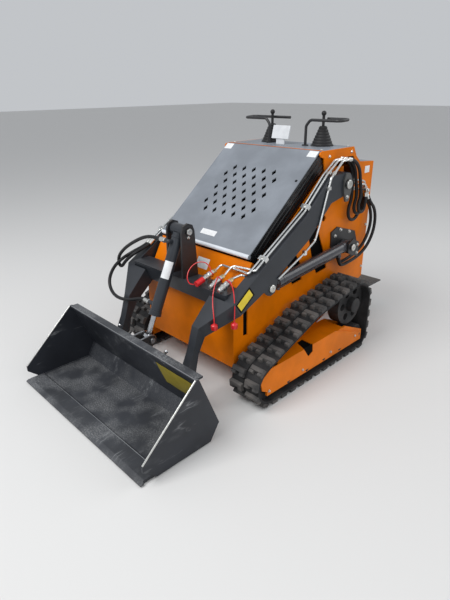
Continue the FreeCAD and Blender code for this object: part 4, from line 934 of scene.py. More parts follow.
@dataclass
class BodyDress:
    """Blank labels, bolts, the deck's orange rim, black sheets of painted shade in the openings and the
    tail's vents as dark bars of painted shade.

    Outlines of the openings are (y, z) corners, the nose is its (y, z) line from low to high.
    """

    plate_face: float = 357.0
    tail_face: float = 804.0
    nose: tuple[Spot, Spot] = ((-406.0, 480.0), (-274.0, 710.0))
    nose_label_x: float = 34.0
    nose_label_rise: float = 0.70
    nose_label_size: Spot = (92, 58)
    tail_label: Spot = (738, 1046)
    tail_label_size: Spot = (52, 40)
    rim: tuple[Spot, ...] = ((-349.5, 274.2), (349.5, 274.2), (349.5, 281), (-349.5, 281))
    rim_span: Spot = (1184.5, 1192)
    shade_sheet_span: Spot = (344, 346)
    bracket_bolts: tuple[Spot, ...] = ((437, 697), (489, 726), (585, 696))
    side_bolts: tuple[Spot, ...] = ((330, 1158), (546, 1164), (640, 1068), (785, 700), (785, 420))
    tail_bolt_x: tuple[float, ...] = (-318, 318)
    tail_bolt_z: tuple[float, ...] = (400, 700, 1040)
    slanting_vents: tuple[Spot, ...] = (
        (-20, 480), (405, 480), (405, 640), (270, 825), (150, 825), (-20, 690))
    nose_slot: tuple[Spot, ...] = ((-350, 310), (-290, 310), (-290, 485), (-350, 485))
    vent_half: float = 180
    vent_tall: float = 12
    vent_low: float = 620
    vent_step: float = 34
    vent_rows: int = 6

    def build(self) -> None:
        """Makes the body's pieces."""
        low, high = (np.array([self.nose_label_x, *end]) for end in self.nose)
        normal = (0.0, -(high - low)[2], (high - low)[1])
        nose = flat_label(low + (high - low) * self.nose_label_rise, normal, OUT, *self.nose_label_size)
        piece("nose_label", nose, Look.LABEL, Body.CHASSIS)
        tail = flat_label((self.plate_face, *self.tail_label), OUT, BACK, *self.tail_label_size)
        piece("tail_label", tail, Look.LABEL, Body.CHASSIS)
        rim = prism(list(self.rim), "Z", *self.rim_span)
        piece("deck_front_rim", rim, Look.ORANGE, Body.CHASSIS, None)
        heads = hex_bolts([(self.plate_face + 8, *spot) for spot in self.bracket_bolts], OUT, 15)
        piece("bracket_plate_bolts", heads.paired(), Look.ZINC, Body.CHASSIS)
        # Black sheets in the slanting vents and the nose slot paint the shade inside them.
        openings = (self.slanting_vents, self.nose_slot)
        sheets = [prism(list(outline), "X", *self.shade_sheet_span) for outline in openings]
        piece("opening_painted_shade_sheets", joined(sheets).paired(), Look.DARK, Body.CHASSIS, None)
        heads = hex_bolts([(self.plate_face, *spot) for spot in self.side_bolts], OUT, 12)
        piece("body_side_bolts", heads.paired(), Look.ZINC, Body.CHASSIS)
        tail_spots = [(x, self.tail_face, z) for x in self.tail_bolt_x for z in self.tail_bolt_z]
        piece("tail_bolts", hex_bolts(tail_spots, BACK, 12), Look.ZINC, Body.CHASSIS)
        self.vents()

    def vents(self) -> None:
        """The tail's row of vent slots, as thin dark bars on its face: painted shade."""
        slots = []
        half = self.vent_half
        for low in self.vent_low + self.vent_step * np.arange(self.vent_rows):
            high = low + self.vent_tall
            outline = [(half, low), (-half, low), (-half, high), (half, high)]
            slots.append(prism(outline, "Y", self.tail_face + 0.2, self.tail_face + 3.2))
        piece("tail_vent_slot_shade", joined(slots), Look.DARK, Body.CHASSIS, None)


@dataclass
class ArmDress:
    """The arms' blank yellow label, bright pin ends and the bolts of keepers and pipe clamps."""

    outer: float = 434.0
    pivot: Spot = (397, 1014)
    lug: Spot = (-210, 576)
    ear: Spot = (-430, 843)
    label: Spot = (-402, 572)
    label_heading: Point = (0.0, 82.0, 60.0)
    label_size: Spot = (100, 46)
    border_size: Spot = (118, 64)
    clamps: tuple[tuple[Point, Point], ...] = (
        ((402.0, 71.2, 941.9), (0, -0.671, 0.741)),
        ((402.0, -248.9, 740.7), (0, -0.517, 0.856)),
    )

    def build(self) -> None:
        """Makes the arms' pieces."""
        border = flat_label((self.outer, *self.label), OUT, self.label_heading, *self.border_size, 0.4, 3)
        above = (self.outer + 0.35, *self.label)
        face = flat_label(above, OUT, self.label_heading, *self.label_size, 0.4)
        piece("arm_label_border", border.paired(), Look.ARM_BORDER, Body.ARMS)
        piece("arm_label_face", face.paired(), Look.ARM_LABEL, Body.ARMS)
        pivot = turned(pin_end(24.5, 6, 2.5, 9, 3.5), (self.outer + 18, *self.pivot), OUT, 32)
        piece("pivot_pin_ends", pivot.paired(), Look.ZINC, Body.CHASSIS)
        lug = turned(pin_end(21, 9, 2.5, 7, 3.5), (self.outer, *self.lug), OUT, 28)
        piece("lug_pin_ends", lug.paired(), Look.ZINC, Body.ARMS)
        keeper = hex_bolts([(self.outer + 10, self.pivot[0] + 1, self.pivot[1] - 70)], OUT, 15)
        piece("keeper_bolts", keeper.paired(), Look.ZINC, Body.ARMS)
        ear = turned(pin_end(17, 5, 2, 6, 2), (72, *self.ear), OUT)
        bolt = hex_bolts([(64, self.ear[0], self.ear[1] - 31)], OUT, 11)
        piece("ear_pin_ends", (ear + bolt).paired(), Look.ZINC, Body.ARMS)
        heads = joined([hex_bolts([place], normal, 11) for place, normal in self.clamps])
        piece("clamp_bolts", heads.paired(), Look.ZINC, Body.ARMS)


@dataclass
class CylinderDress:
    """Gland rings, ports, the pipe along each lift barrel, pin ends and the tilt barrel's label."""

    base: Spot = (496.0, 633.0)
    tip: Spot = (-210.0, 576.0)
    middle: float = 404.0
    rings_at: tuple[float, ...] = (34, 590)
    port_at: float = 620
    pipe: tuple[Spot, ...] = ((46, 40), (60, 44), (90, 40), (330, 39), (570, 40), (596, 43), (606, 40))
    tilt_base: Point = (0.0, -430.0, 843.0)
    tilt_tip: Point = (0.0, -680.0, 311.0)
    label_span: Spot = (170, 262)
    label_turn: Spot = (-10, 82)

    def build(self) -> None:
        """Makes the cylinders' pieces."""
        for side in Side:
            piece(f"lift_barrel_rings_{side.label}", self.barrel_parts().on(side), Look.BARREL, side.barrel)
            pipe = swept(flowing([self.along(*spot) for spot in self.pipe], 2), 5.0, 10)
            piece(f"lift_barrel_tube_{side.label}", pipe.on(side), Look.BARREL_PIPE, side.barrel)
        pin = turned(pin_end(20, 6, 2, 7, 3), (self.middle + 51, *self.base), OUT, 28)
        bolts = hex_bolts([(self.middle + 45, 552, z) for z in (640, 588)], OUT, 13)
        piece("lift_bracket_pin_ends", (pin + bolts).paired(), Look.ZINC, Body.CHASSIS)
        self.tilt_parts()

    def along(self, distance: float, below: float = 0.0) -> Point:
        """A point beside a lift cylinder's axis.

        Args:
            distance: from the base towards the tip.
            below: how far it is under the axis.

        Returns:
            The point on the left side.
        """
        heading = unit((0.0, self.tip[0] - self.base[0], self.tip[1] - self.base[1]))
        down = np.array([0.0, -heading[2], heading[1]])
        return tuple((np.array([self.middle, *self.base]) + heading * distance + down * below).tolist())

    def barrel_parts(self) -> Surface:
        """Two welded rings, the port block at the head and the elbow at the foot.

        Returns:
            The left side's surface.
        """
        axis = (0.0, self.tip[0] - self.base[0], self.tip[1] - self.base[1])
        ring = [(30.3, 0), (33, 2), (33, 12), (30.3, 14)]
        rings = [turned(ring, self.along(distance), axis, 28) for distance in self.rings_at]
        port = turned([(11, 0), (11, 46), (9, 48)], self.along(self.port_at), DOWN, 16)
        elbow = turned([(9.5, 0), (9.5, 36), (13, 37), (13, 45)], (413, 421, 627), DOWN, 16)
        return joined(rings + [port, elbow])

    def tilt_parts(self) -> None:
        """The tilt barrel's gland ring and its blank label, a patch that wraps the barrel.

        A point of the label is base + distance along the axis + radius (cos a front + sin a across).
        """
        base = np.array(self.tilt_base)
        axis = unit(np.array(self.tilt_tip) - base)
        ring = turned([(30.3, 0), (32.5, 2), (32.5, 10), (30.3, 12)], base + axis * 36, axis, 28)
        piece("tilt_barrel_ring", ring, Look.ARM, Body.TILT_BARREL)
        front = np.cross(axis, OUT)
        angle = np.radians(np.linspace(*self.label_turn, 14))[:, None]
        wrap = np.cos(angle) * front + np.sin(angle) * np.array(OUT)
        spine = base + np.linspace(*self.label_span, 6)[:, None, None] * axis
        label = stack(np.concatenate([spine + 30.55 * wrap, spine + 30.15 * wrap[::-1]], 1))
        piece("tilt_barrel_label", label, Look.LABEL, Body.TILT_BARREL)


@dataclass
class HoseDress:
    """Hoses round the arms' pivot, to the lift barrels and to the tilt barrel, with fittings.

    A pivot hose follows an arc round the pivot and then its loop of (y, z) spots. The third one,
    and its fittings, are on the left only. Routes are those of the left side; the tilt hoses are
    on the right.
    """

    pivot: Spot = (397.0, 1014.0)
    arc: float = 128.0
    lanes: tuple[float, ...] = (391.0, 413.0, 441.0)
    loops: tuple[tuple[str, tuple[Spot, ...]], ...] = (
        ("inner", ((540, 905), (508, 850), (520, 790), (580, 770), (640, 815), (664, 885), (668, 952))),
        ("outer", ((556, 925), (530, 868), (545, 822), (600, 812), (636, 862), (642, 905), (640, 948))),
        ("side", ((556, 930), (528, 876), (543, 832), (592, 832), (606, 880), (602, 944))),
    )
    feeds: tuple[tuple[str, tuple[Spot, ...]], ...] = (
        ("upper", ((702, 900), (716, 868), (762, 815), (790, 740), (776, 660), (720, 590), (640, 552),
                   (555, 538), (478.2, 530), (446.2, 552), (442.2, 585))),
        ("lower", ((702, 900), (716, 862), (776, 815), (804, 740), (792, 652), (730, 576), (640, 538),
                   (555, 526), (457, 520), (425, 544), (421, 585))),
    )
    sleeves: tuple[tuple[Point, Point], ...] = (
        ((391, 668, 928), UP), ((413, 640, 924), UP),
        ((384, 707, 884), (-0.3, -0.3, 1)), ((404, 707, 880), (-0.3, -0.3, 1)),
    )
    bends: tuple[tuple[Point, ...], ...] = (
        ((357, 594, 1004), (384, 594, 1004), (391, 602, 1003), (391, 652, 993), (391, 665, 985),
         (391, 668, 968)),
        ((357, 584, 984), (404, 584, 984), (413, 592, 983), (413, 628, 979), (413, 638, 974),
         (413, 640, 964)),
        ((357, 692, 948), (366, 693, 946), (371, 694, 938), (373, 695, 920)),
        ((357, 700, 962), (378, 700, 960), (389, 697, 946), (392, 696, 917)),
    )
    port: Spot = (602.0, 952.0)
    pipe_corner: Spot = (254, 1078)
    tilt_start: Spot = (-330.0, 680.1)
    tilt_heading: Point = (0.0, -540.0, -326.0)
    tilt_ports: tuple[Point, ...] = ((-40, -506, 796), (-86, -604.4, 471.9))
    tilt_bows: tuple[tuple[Point, ...], ...] = (
        ((-404, -452, 630), (-430, -500, 590), (-456, -514, 548), (-486, -514, 560), (-478, -514, 612),
         (-405, -512, 676), (-290, -510, 742), (-190, -508, 786), (-106, -506, 796)),
        ((-426, -452, 632), (-458, -510, 596), (-492, -552, 543), (-492, -588, 478), (-440, -612, 432),
         (-345, -630, 420), (-230, -628, 440), (-140, -604.4, 471.9)),
    )

    def build(self) -> None:
        """Makes the hoses of both sides."""
        for side in Side:
            lanes = self.lanes if side is Side.LEFT else self.lanes[:2]
            for x, (name, loop) in zip(lanes, self.loops):
                thing = self.pivot_hose(side, name, x, loop)
                if side is Side.LEFT and name == "inner":
                    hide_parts("arm_hoses", "body_hoses")
            self.feed_hoses(side)
            self.fittings(side, lanes)
        self.tilt_hoses()

    def pivot_hose(self, side: Side, name: str, x: float, loop: tuple[Spot, ...]) -> bpy.types.Object:
        """One hose from a pipe's end round the pivot, down in a loop and up to the body.

        Args:
            side: the machine's side.
            name: which of the hoses it is.
            x: how far it is from the machine's middle; two spots of the loop are 2 mm further out.
            loop: spots after the arc.

        Returns:
            The hose.
        """
        back, up = self.pivot
        turn = np.radians(np.linspace(1, 84, 8))
        route = [(x, back + self.arc * math.sin(angle), up + self.arc * math.cos(angle)) for angle in turn]
        route += [(x + 2.0 * (number in (2, 3)), *spot) for number, spot in enumerate(loop)]
        ends = [(x, back, up + self.arc), (x, back + self.arc + 20, up - 110)]
        return hose(f"pivot_hose_{name}_{side.label}", signed(side, route), (Body.ARMS, Body.CHASSIS),
                    *signed(side, ends))

    def feed_hoses(self, side: Side) -> None:
        """Two hoses that hang in a bow from the body to the lift cylinder's foot.

        Args:
            side: the machine's side.
        """
        for x, (name, spots) in zip(self.lanes, self.feeds):
            route = [(x - 12 * (spot is spots[0]), *spot) for spot in spots]
            ends = [(x, 700, 600), (x, 470, 560)]
            hose(f"feed_hose_{name}_{side.label}", signed(side, route), (Body.CHASSIS, side.barrel),
                 *signed(side, ends))

    def side_port(self) -> list[Surface]:
        """The eye fitting on a long bolt that takes the third pivot hose's end.

        Returns:
            Sleeve, nut, bolt, eye and bolt head.
        """
        eye = [(12, 0), (13.5, 1.5), (13.5, 20), (12, 21.5)]
        return [turned(SIDE_SLEEVE, (441, 603.8, 915), (0, -4, 64), 20),
                turned(PORT_NUT, (357, *self.port), OUT, 6),
                turned([(7.5, 0), (7.5, 80)], (357, *self.port), OUT, 16),
                turned(eye, (430, *self.port), OUT),
                turned([(10, 0), (11, 1.5), (11, 8), (10, 9.5)], (451.5, *self.port), OUT, 6)]

    def fittings(self, side: Side, lanes: tuple[float, ...]) -> None:
        """Bright crimped sleeves, hexagon nuts and short bent pipes at the hoses' ends.

        Args:
            side: the machine's side.
            lanes: x of each of its pivot hoses.
        """
        parts = []
        for place, heading in self.sleeves:
            parts.append(turned(BODY_SLEEVE, place, heading, 20))
            parts.append(turned(HOSE_NUT, np.array(place) + unit(heading) * 30, heading, 6))
        parts += [swept(flowing(bend), 5.5, 12) for bend in self.bends]
        parts += [turned(PORT_NUT, bend[0], OUT, 6) for bend in self.bends]
        parts += self.side_port() if side is Side.LEFT else []
        piece(f"hose_fittings_{side.label}", joined(parts).on(side), Look.ZINC, Body.CHASSIS)
        back, up = self.pivot
        ends = [turned(ARM_SLEEVE, (x, back - 6, up + self.arc), BACK, 20) for x in lanes]
        ends += [turned(PIPE_NUT, (x, *self.pipe_corner), (0, 99, 78), 6) for x in lanes]
        piece(f"pipe_end_sleeves_{side.label}", joined(ends).on(side), Look.ZINC, Body.ARMS)

    def tilt_hoses(self) -> None:
        """Two hoses in wide bows from the right arm's pipes to the tilt cylinder, with crimped ends."""
        heading = unit(self.tilt_heading)
        starts = [(-x, *self.tilt_start) for x in self.lanes[:2]]
        bodies = (Body.ARMS, Body.TILT_BARREL)
        for name, start, bow, end in zip(("upper", "lower"), starts, self.tilt_bows, self.tilt_ports):
            route = [start, tuple(np.array(start) + heading * 45), *bow, end]
            thing = hose(f"tilt_hose_{name}", route, bodies, (-391, -420, 610), (-110, -560, 640))
            if name == "upper":
                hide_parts("tilt_hoses")
        ports = [turned(TILT_SLEEVE, place, (-1, 0, 0), 20) for place in self.tilt_ports]
        ports += [turned(TILT_NUT, place, (-1, 0, 0), 6) for place in self.tilt_ports]
        piece("tilt_port_sleeves", joined(ports), Look.ZINC, Body.TILT_BARREL)
        ends = [turned(TILT_PIPE_END, start, heading, 20) for start in starts]
        piece("tilt_pipe_sleeves", joined(ends), Look.ZINC, Body.ARMS)


@dataclass
class CouplerDress:
    """Collars and nuts of the couplers, the straps of the dust caps and two hanging caps.

    A coupler runs from the first to the second of its two points.
    """

    couplers: tuple[tuple[Point, Point], ...] = (
        ((190, -384, 646), (190, -450, 627)),
        ((270, -402, 642), (270, -474, 616)),
        ((335, -407, 642), (335, -478, 616)),
    )
    straps: tuple[tuple[Point, ...], ...] = (
        ((190, -398, 658), (178, -392, 678), (150, -402, 698), (112, -426, 692), (92, -456, 660),
         (104, -486, 624), (146, -506, 606), (180, -504, 612)),
        ((270, -420, 654), (280, -440, 650), (293, -472, 618), (308, -497, 584), (336, -524, 552),
         (366, -546, 518), (376, -553, 484)),
        ((335, -424, 654), (362, -430, 658), (404, -452, 634), (430, -470, 580), (438, -478, 530),
         (437, -480, 486)),
    )
    strap_radius: float = 2.6
    loop_radius: float = 15.6
    hanging: tuple[Point, ...] = ((376, -553, 484), (437, -480, 486))
    cap_tall: float = 34

    def build(self) -> None:
        """Makes the couplers' pieces."""
        collar = [(13.2, 0), (16.5, 1.5), (16.5, 9), (13.2, 10.5)]
        nut, neck = [(11, -4), (12, -2), (12, 10), (11, 12)], [(9.5, 10), (10.5, 12), (10.5, 20), (8, 22)]
        collars, nuts = [], []
        cords = [swept(measured(f"cap_strap_{number}", flowing(route)), self.strap_radius)
                 for number, route in enumerate(self.straps)]
        for start, end in self.couplers:
            low, axis = np.array(start), unit(np.subtract(end, start))
            collars.append(turned(collar, low + axis * 44, axis))
            collars.append(turned([(10, 0), (10, 8)], end - axis, axis, 20))
            nuts += [turned(profile, start, -axis, 6) for profile in (nut, neck)]
            across, up, _ = basis(axis)
            ring = low + axis * 14 + self.loop_radius * circle(24, across, up)
            cords.append(swept(np.vstack([ring, ring[:1]]), self.strap_radius))
        piece("coupler_collars", joined(collars), Look.ZINC, Body.ARMS)
        piece("coupler_nuts", joined(nuts), Look.BRASS, Body.ARMS)
        piece("cap_straps", joined(cords), Look.CAP, Body.ARMS)
        cap = [(15, 0), (16.5, 2), (16.5, 22), (13, 26), (5, 30), (4, self.cap_tall)]
        caps = [turned(cap, (x, y, z - self.cap_tall), UP) for x, y, z in self.hanging]
        piece("hanging_caps", joined(caps), Look.CAP, Body.ARMS)


@dataclass
class TrackDress:
    """The rubber loops with their lugs, the covers' bolts, hub caps and black sheets of painted shade in the
    notches.

    Wheels are (y, z, radius of the track's outside) from the front idler round.
    """

    cover_face: float = 561.0
    wheels: tuple[Point, ...] = (
        (-335.0, 130.0, 130.0), (495.0, 92.0, 92.0), (425.0, 312.0, 160.0), (40.0, 340.0, 68.0))
    inside: float = 383.0
    outside: float = 568.0
    groove: Spot = (466.0, 485.0)
    groove_deep: float = 6.0
    lug_tall: float = 18.0
    belt_thick: float = 14.0
    pitch: float = 75.0
    cover_bolts: tuple[Spot, ...] = ((-358, 96), (-80, 96), (183, 100), (440, 108))
    notch: tuple[Spot, ...] = ((-79, 225.5), (-34, 161), (3, 177), (-2, 225.5))
    notch_span: Spot = (558.2, 559.4)
    notch_top: tuple[Spot, ...] = ((470, -96), (550, -96), (550, 16), (470, 16))
    notch_top_span: Spot = (214, 217)
    hub_x: float = 550

    def belt_line(self) -> tuple[np.ndarray, np.ndarray]:
        """The belt's outer face as a closed line drawn tight round the wheels.

        On each wheel the normal's angle runs from the tangent with the wheel before to the tangent
        with the wheel after; a point is the centre plus the radius times (cos, sin) of that angle.

        Returns:
            Distances along the loop, and one row (y, z, angle) for each.
        """
        ring = np.array(self.wheels) - np.array([0.0, 0.0, self.lug_tall])
        gap = np.roll(ring, -1, 0) - ring
        reach = np.hypot(gap[:, 0], gap[:, 1])
        leave = np.arctan2(gap[:, 1], gap[:, 0]) - math.pi / 2 - np.arcsin(gap[:, 2] / reach)
        arrive = np.roll(leave, 1)
        rows = []
        for (y, z, radius), start, sweep in zip(ring, arrive, (leave - arrive) % TURN):
            angle = start + np.linspace(0.0, sweep, max(4, int(sweep / 0.06)))
            rows.append(np.stack([y + radius * np.cos(angle), z + radius * np.sin(angle), angle], 1))
        table = np.vstack(rows + [rows[0][:1]])
        table[:, 2] = np.unwrap(table[:, 2])
        steps = np.hypot(*np.diff(table[:, :2], axis=0).T)
        return np.concatenate([[0.0], np.cumsum(steps)]), table

    def placed(self, local: np.ndarray, spots: np.ndarray) -> np.ndarray:
        """Carries local points (x, ahead, up) to rows (y, z, angle) of the belt's line.

        A point lands at the row's place plus ahead along the belt plus up off it, and never
        under the ground.

        Args:
            local: shape (..., points, 3).
            spots: shape (..., 3), one row for each set of points.

        Returns:
            Points of the row frame.
        """
        y, z, angle = spots[..., None, 0], spots[..., None, 1], spots[..., None, 2]
        x, ahead, up = local[..., 0], local[..., 1], local[..., 2]
        back = y + up * np.cos(angle) - ahead * np.sin(angle)
        height = z + up * np.sin(angle) + ahead * np.cos(angle)
        return np.stack([np.broadcast_to(x, back.shape), back, np.maximum(height, 0.0)], -1)

    def belt(self) -> Surface:
        """The belt: one outline with a groove between the two rows, carried round the line.

        Returns:
            The left side's belt.
        """
        distance, table = self.belt_line()
        table = table[np.concatenate([[True], np.diff(distance) > 0.5])]
        low, high, deep, dip = self.inside, self.outside, self.belt_thick, self.groove_deep
        left, right = self.groove
        outline = np.array([
            (low, 0, 2 - deep), (low + 2, 0, -deep), (high - 2, 0, -deep), (high, 0, 2 - deep), (high, 0, -3),
            (high - 3, 0, 0), (right, 0, 0), (right - 3, 0, -dip), (left + 3, 0, -dip), (left, 0, 0),
            (low + 3, 0, 0), (low, 0, -3)])
        rings = self.placed(np.broadcast_to(outline, (len(table), *outline.shape)), table)
        return outward(stack(rings, capped=False))

    def lugs(self) -> Surface:
        """Two staggered rows of lugs, each a cross bar with a heel at both ends.

        Every block is three rings of four points: a wide foot, a shoulder and a smaller top.

        Returns:
            The left side's lugs.
        """
        distance, table = self.belt_line()
        count = round(distance[-1] / self.pitch)
        levels = ((0.0, -2.0), (2.0, self.lug_tall - 3.0), (4.0, self.lug_tall))
        heel = 28
        blocks = []
        for shift, near, far in ((0.0, self.inside, self.groove[0]), (0.5, self.groove[1], self.outside)):
            at = distance[-1] * ((np.arange(count) + shift) / count)
            spots = np.stack([np.interp(at, distance, table[:, column]) for column in range(3)], 1)
            for x0, x1, t0, t1 in ((near, far, -22, 6), (near, near + heel, 2, 23), (far - heel, far, 2, 23)):
                local = np.array([[(x, t, up) for x, t in (
                    (x0 + slim / 2, t0 + slim), (x1 - slim / 2, t0 + slim),
                    (x1 - slim / 2, t1 - slim), (x0 + slim / 2, t1 - slim))] for slim, up in levels])
                for spot in spots:
                    rings = self.placed(local, np.broadcast_to(spot, (len(levels), 3)))
                    blocks.append(outward(stack(rings)))
        return joined(blocks)

    def build(self) -> None:
        """Makes the tracks' pieces."""
        belt, lugs = self.belt(), self.lugs()
        for side in Side:
            track = piece(f"rubber_track_{side.label}", belt.on(side), Look.BELT, Body.CHASSIS, 35.0)
            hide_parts(f"track_{side.label}")
            piece(f"track_lugs_{side.label}", lugs.on(side), Look.LUG, Body.CHASSIS, 35.0)
        # Black sheets in each cover's notch: painted shade.
        face = prism(list(self.notch), "X", *self.notch_span)
        top = prism(list(self.notch_top), "Z", *self.notch_top_span)
        piece("cover_notch_painted_shade", (face + top).paired(), Look.DARK, Body.CHASSIS, None)
        bolts = hex_bolts([(self.cover_face, *spot) for spot in self.cover_bolts], OUT, 11)
        piece("cover_bolts", bolts.paired(), Look.ZINC, Body.CHASSIS)
        hub = turned([(44, 0), (44, 2), (38, 5), (20, 6)], (self.hub_x, *self.wheels[2][:2]), OUT, 32)
        piece("drive_hub_caps", hub.paired(), Look.HUB, Body.CHASSIS)


@dataclass
class BucketDress:
    """The blank label inside, its yellow darkened as painted shade, welds along the bent sheet, bright edges
    that are partly rubbed bare and partly painted highlights, and the levers' tips.
    """

    half: float = 542.0
    label: Point = (365.0, -763.6, 250.0)
    label_normal: Point = (0.0, -274.0, -112.0)
    label_rise: float = 8.6
    label_size: Spot = (276, 146)
    border_size: Spot = (280, 150)
    weld: tuple[Spot, ...] = ((-1050, 14.5), (-756, 14.5), (-709, 92), (-815, 355))
    side_edge: tuple[Spot, Spot] = ((-826, 370), (-1125, 99))
    top_line: Spot = (-822.5, 370.5)
    seam: Spot = (-1047.0, 20.6)
    clevis_rim: tuple[Spot, ...] = ((-752, 336), (-690, 341.5), (-664, 336), (-653, 312), (-660, 288))
    clevis_pin: Spot = (-680, 311)
    lever_x: tuple[float, ...] = (188, -225)

    def build(self) -> None:
        """Makes the bucket's pieces."""
        normal = unit(self.label_normal)
        centre = np.array(self.label) + normal * self.label_rise
        border = flat_label(centre - normal * 0.4, normal, OUT, *self.border_size, 0.5, 3)
        piece("bucket_label_border", border, Look.BUCKET_BORDER, Body.BUCKET)
        # The label's yellow is darkened: painted shade on it.
        face = flat_label(centre, normal, OUT, *self.label_size)
        piece("bucket_label_face", face, Look.BUCKET_LABEL, Body.BUCKET)
        self.rubbed_and_highlight_edges()
        beads = []
        for x in (self.half - 1.5, 1.5 - self.half):
            corners = np.array([(x, *spot) for spot in self.weld])
            runs = [np.linspace(first, last, 12)[:-1] for first, last in zip(corners[:-1], corners[1:])]
            path = np.vstack(runs + [corners[-1:]])
            beads.append(swept(path, 3.4 + 0.5 * np.sin(np.arange(len(path)) * 2.1)))
        piece("bucket_welds", joined(beads), Look.BUCKET, Body.BUCKET)

    def rubbed_and_highlight_edges(self) -> None:
        """Bright lines, partly paint rubbed off and partly painted highlights: side plates, top bar, cutting
        edge and clevis.
        """
        # The side plates' bright beads: partly rubbed bare steel, partly a painted highlight.
        sides = [swept([(x, *spot) for spot in self.side_edge], 4.3, 10) for x in (546, -546)]
        piece("bucket_side_edges", joined(sides), Look.ZINC, Body.BUCKET)
        # Top bar line and cutting-edge seam: partly rubbed paint, partly a painted highlight laid over the
        # step's shade.
        lines = [swept([(-541, *spot), (541, *spot)], radius)
                 for spot, radius in ((self.top_line, 2.0), (self.seam, 1.8))]
        piece("bucket_rubbed_lines", joined(lines), Look.RUBBED_AND_HIGHLIGHT, Body.BUCKET)
        # Clevis rim beads: painted highlights on the lugs' edges, partly rubbed paint.
        clevis = [swept(flowing([(x, *spot) for spot in self.clevis_rim], 2), 4.6) for x in (-33, 33)]
        clevis += [turned(pin_end(15, 5, 2, 5, 2), (x, *self.clevis_pin), (x, 0, 0)) for x in (-39, 39)]
        piece("clevis_rubbed_edges", joined(clevis), Look.RUBBED_AND_HIGHLIGHT, Body.BUCKET)
        tips = [swept([(x, -707, 315), (x, -702, 319)], 9.6, 14) for x in self.lever_x]
        piece("lever_tips", joined(tips), Look.RUBBED_AND_HIGHLIGHT, Body.BUCKET)


@dataclass
class PlatformDress:
    """Raised lozenges on the operator's step."""

    half: float = 310.0
    front: float = 862.0
    end: float = 1132.0
    top: float = 214.0
    column_step: float = 31.0
    row_step: float = 27.0
    lozenge: Spot = (11.0, 3.6)
    lean: float = 0.79

    def build(self) -> None:
        """Makes the tread: rows of small lozenges that lean left and right in turn.

        A lozenge is six points (long cos t, short sin t), turned by its lean; its top is 0.6 as
        large as its foot.
        """
        columns = np.arange(-self.half, self.half + 1, self.column_step)
        rows = np.arange(self.front, self.end, self.row_step)
        x, y = np.meshgrid(columns, rows, indexing="ij")
        odd = (np.arange(x.size).reshape(x.shape) + np.indices(x.shape)[0]) % 2
        flat = circle(6, np.array([self.lozenge[0], 0.0]), np.array([0.0, self.lozenge[1]]))
        parts = []
        slants = np.where(odd, self.lean, -self.lean)
        for place_x, place_y, slant in zip(x.ravel(), y.ravel(), slants.ravel()):
            cosine, sine = math.cos(slant), math.sin(slant)
            outline = flat @ np.array([[cosine, sine], [-sine, cosine]])
            levels = ((1.0, self.top - 0.5), (0.6, self.top + 1.8))
            parts.append(stack(np.stack([
                np.column_stack([outline * share + (place_x, place_y), np.full(6, height)])
                for share, height in levels])))
        piece("step_tread_pattern", joined(parts), Look.TREAD, Body.PLATFORM, None)


@dataclass
class ControlDress:
    """Collars of the sticks' boots, feet of the grip loops and the deck's bolts."""

    deck: float = 1190.0
    sticks: tuple[Spot, ...] = ((192, 492), (-186, 492))
    grips: tuple[Spot, ...] = ((117, 432), (-150, 425))
    bolts: tuple[Spot, ...] = ((-325, 300), (-325, 556), (325, 300), (325, 556))

    def build(self) -> None:
        """Makes the controls' pieces."""
        collars = [turned([(66, 0), (66, 3), (62, 5)], (*spot, self.deck), UP, 32) for spot in self.sticks]
        piece("boot_collars", joined(collars), Look.BOOT, Body.CHASSIS)
        feet = [turned([(19, 0), (19, 5), (15, 7)], (*spot, self.deck), UP, 28) for spot in self.grips]
        piece("grip_feet", joined(feet), Look.GRIP, Body.CHASSIS)
        bolts = hex_bolts([(*spot, self.deck) for spot in self.bolts], UP, 11)
        piece("deck_bolts", bolts, Look.ZINC, Body.CHASSIS)


# Camera, lights and floor


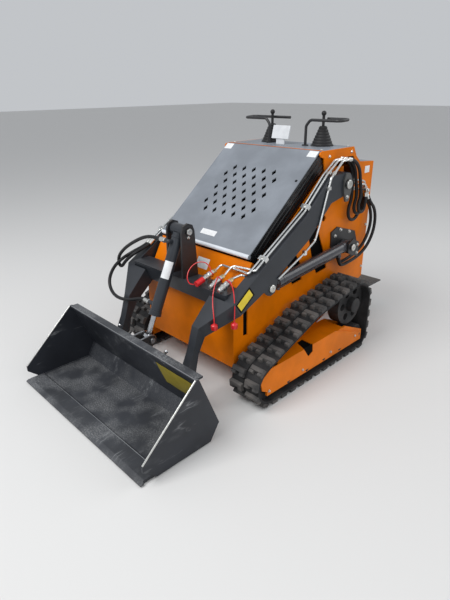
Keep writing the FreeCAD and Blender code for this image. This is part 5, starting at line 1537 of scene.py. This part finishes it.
@dataclass(frozen=True)
class Studio:
    """The photograph's viewpoint and a plain, soft light. Lamps are (name, place, size, power)."""

    eye: Point = (1.862, -1.919, 1.498)
    ahead: Point = (-0.65683, 0.63585, -0.40530)
    right: Point = (0.69919, 0.71484, -0.01165)
    up: Point = (-0.28232, 0.29103, 0.91411)
    lens: float = 28.63
    sensor: float = 36.0
    sky: Point = (0.93, 0.96, 1.0)
    sky_strength: float = 0.58
    lamps: tuple[tuple[str, Point, float, float], ...] = (
        ("key", (-0.6, -3.4, 4.8), 3.0, 200.0),
        ("fill", (3.8, -1.4, 3.0), 3.4, 40.0),
        ("rim", (2.6, 3.4, 3.6), 2.8, 45.0),
    )
    target: Point = (0, 0, 0.6)
    floor_colour: Point = (0.66, 0.655, 0.645)
    floor_half: float = 40.0
    floor_level: float = -0.001

    def build(self) -> None:
        """Makes the camera, the world, the lamps and the floor."""
        data = bpy.data.cameras.new("camera")
        data.lens = self.lens
        data.sensor_width = self.sensor
        data.sensor_fit = "AUTO"
        camera = self.put("camera", data)
        turn = Matrix((self.right, self.up, tuple(-v for v in self.ahead))).transposed()
        camera.matrix_world = Matrix.Translation(Vector(self.eye)) @ turn.to_4x4()
        bpy.context.scene.camera = camera
        bpy.context.scene.view_settings.view_transform = "Standard"
        world = bpy.data.worlds.new("sky")
        world.use_nodes = True
        background = world.node_tree.nodes["Background"]
        background.inputs["Color"].default_value = (*self.sky, 1.0)
        background.inputs["Strength"].default_value = self.sky_strength
        bpy.context.scene.world = world
        for lamp in self.lamps:
            self.lamp(*lamp)
        self.floor()

    def put(self, name: str, data: bpy.types.ID) -> bpy.types.Object:
        """Makes an object of some data and links it to the scene.

        Args:
            name: the object's name.
            data: a camera, lamp or mesh.

        Returns:
            The object.
        """
        thing = bpy.data.objects.new(name, data)
        bpy.context.scene.collection.objects.link(thing)
        return thing

    def lamp(self, name: str, place: Point, size: float, power: float) -> None:
        """A square area lamp that looks at the machine's middle.

        Args:
            name: the lamp's name.
            place: where it stands, in metres.
            size: of its side, in metres.
            power: in watts.
        """
        data = bpy.data.lights.new(name, "AREA")
        data.size = size
        data.energy = power
        thing = self.put(name, data)
        thing.location = place
        thing.rotation_euler = (Vector(self.target) - Vector(place)).to_track_quat("-Z", "Y").to_euler()

    def floor(self) -> None:
        """A wide pale floor just under the tracks."""
        mesh = bpy.data.meshes.new("floor")
        half, level = self.floor_half, self.floor_level
        corners = [(-half, -half, level), (half, -half, level), (half, half, level), (-half, half, level)]
        mesh.from_pydata(corners, [], [(0, 1, 2, 3)])
        mesh.materials.append(ShaderGraph("floor_pale").close(self.floor_colour, 0.9))
        self.put("floor", mesh)


def main() -> None:
    """Builds the dress of every sub-assembly in order."""
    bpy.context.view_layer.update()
    Studio().build()
    dress_frame()
    for part in (HoodDress(), BodyDress(), ArmDress(), CylinderDress(), HoseDress(), CouplerDress(),
                 TrackDress(), BucketDress(), PlatformDress(), ControlDress()):
        log.info("%s", type(part).__name__)
        part.build()


if __name__ == "__main__":
    main()
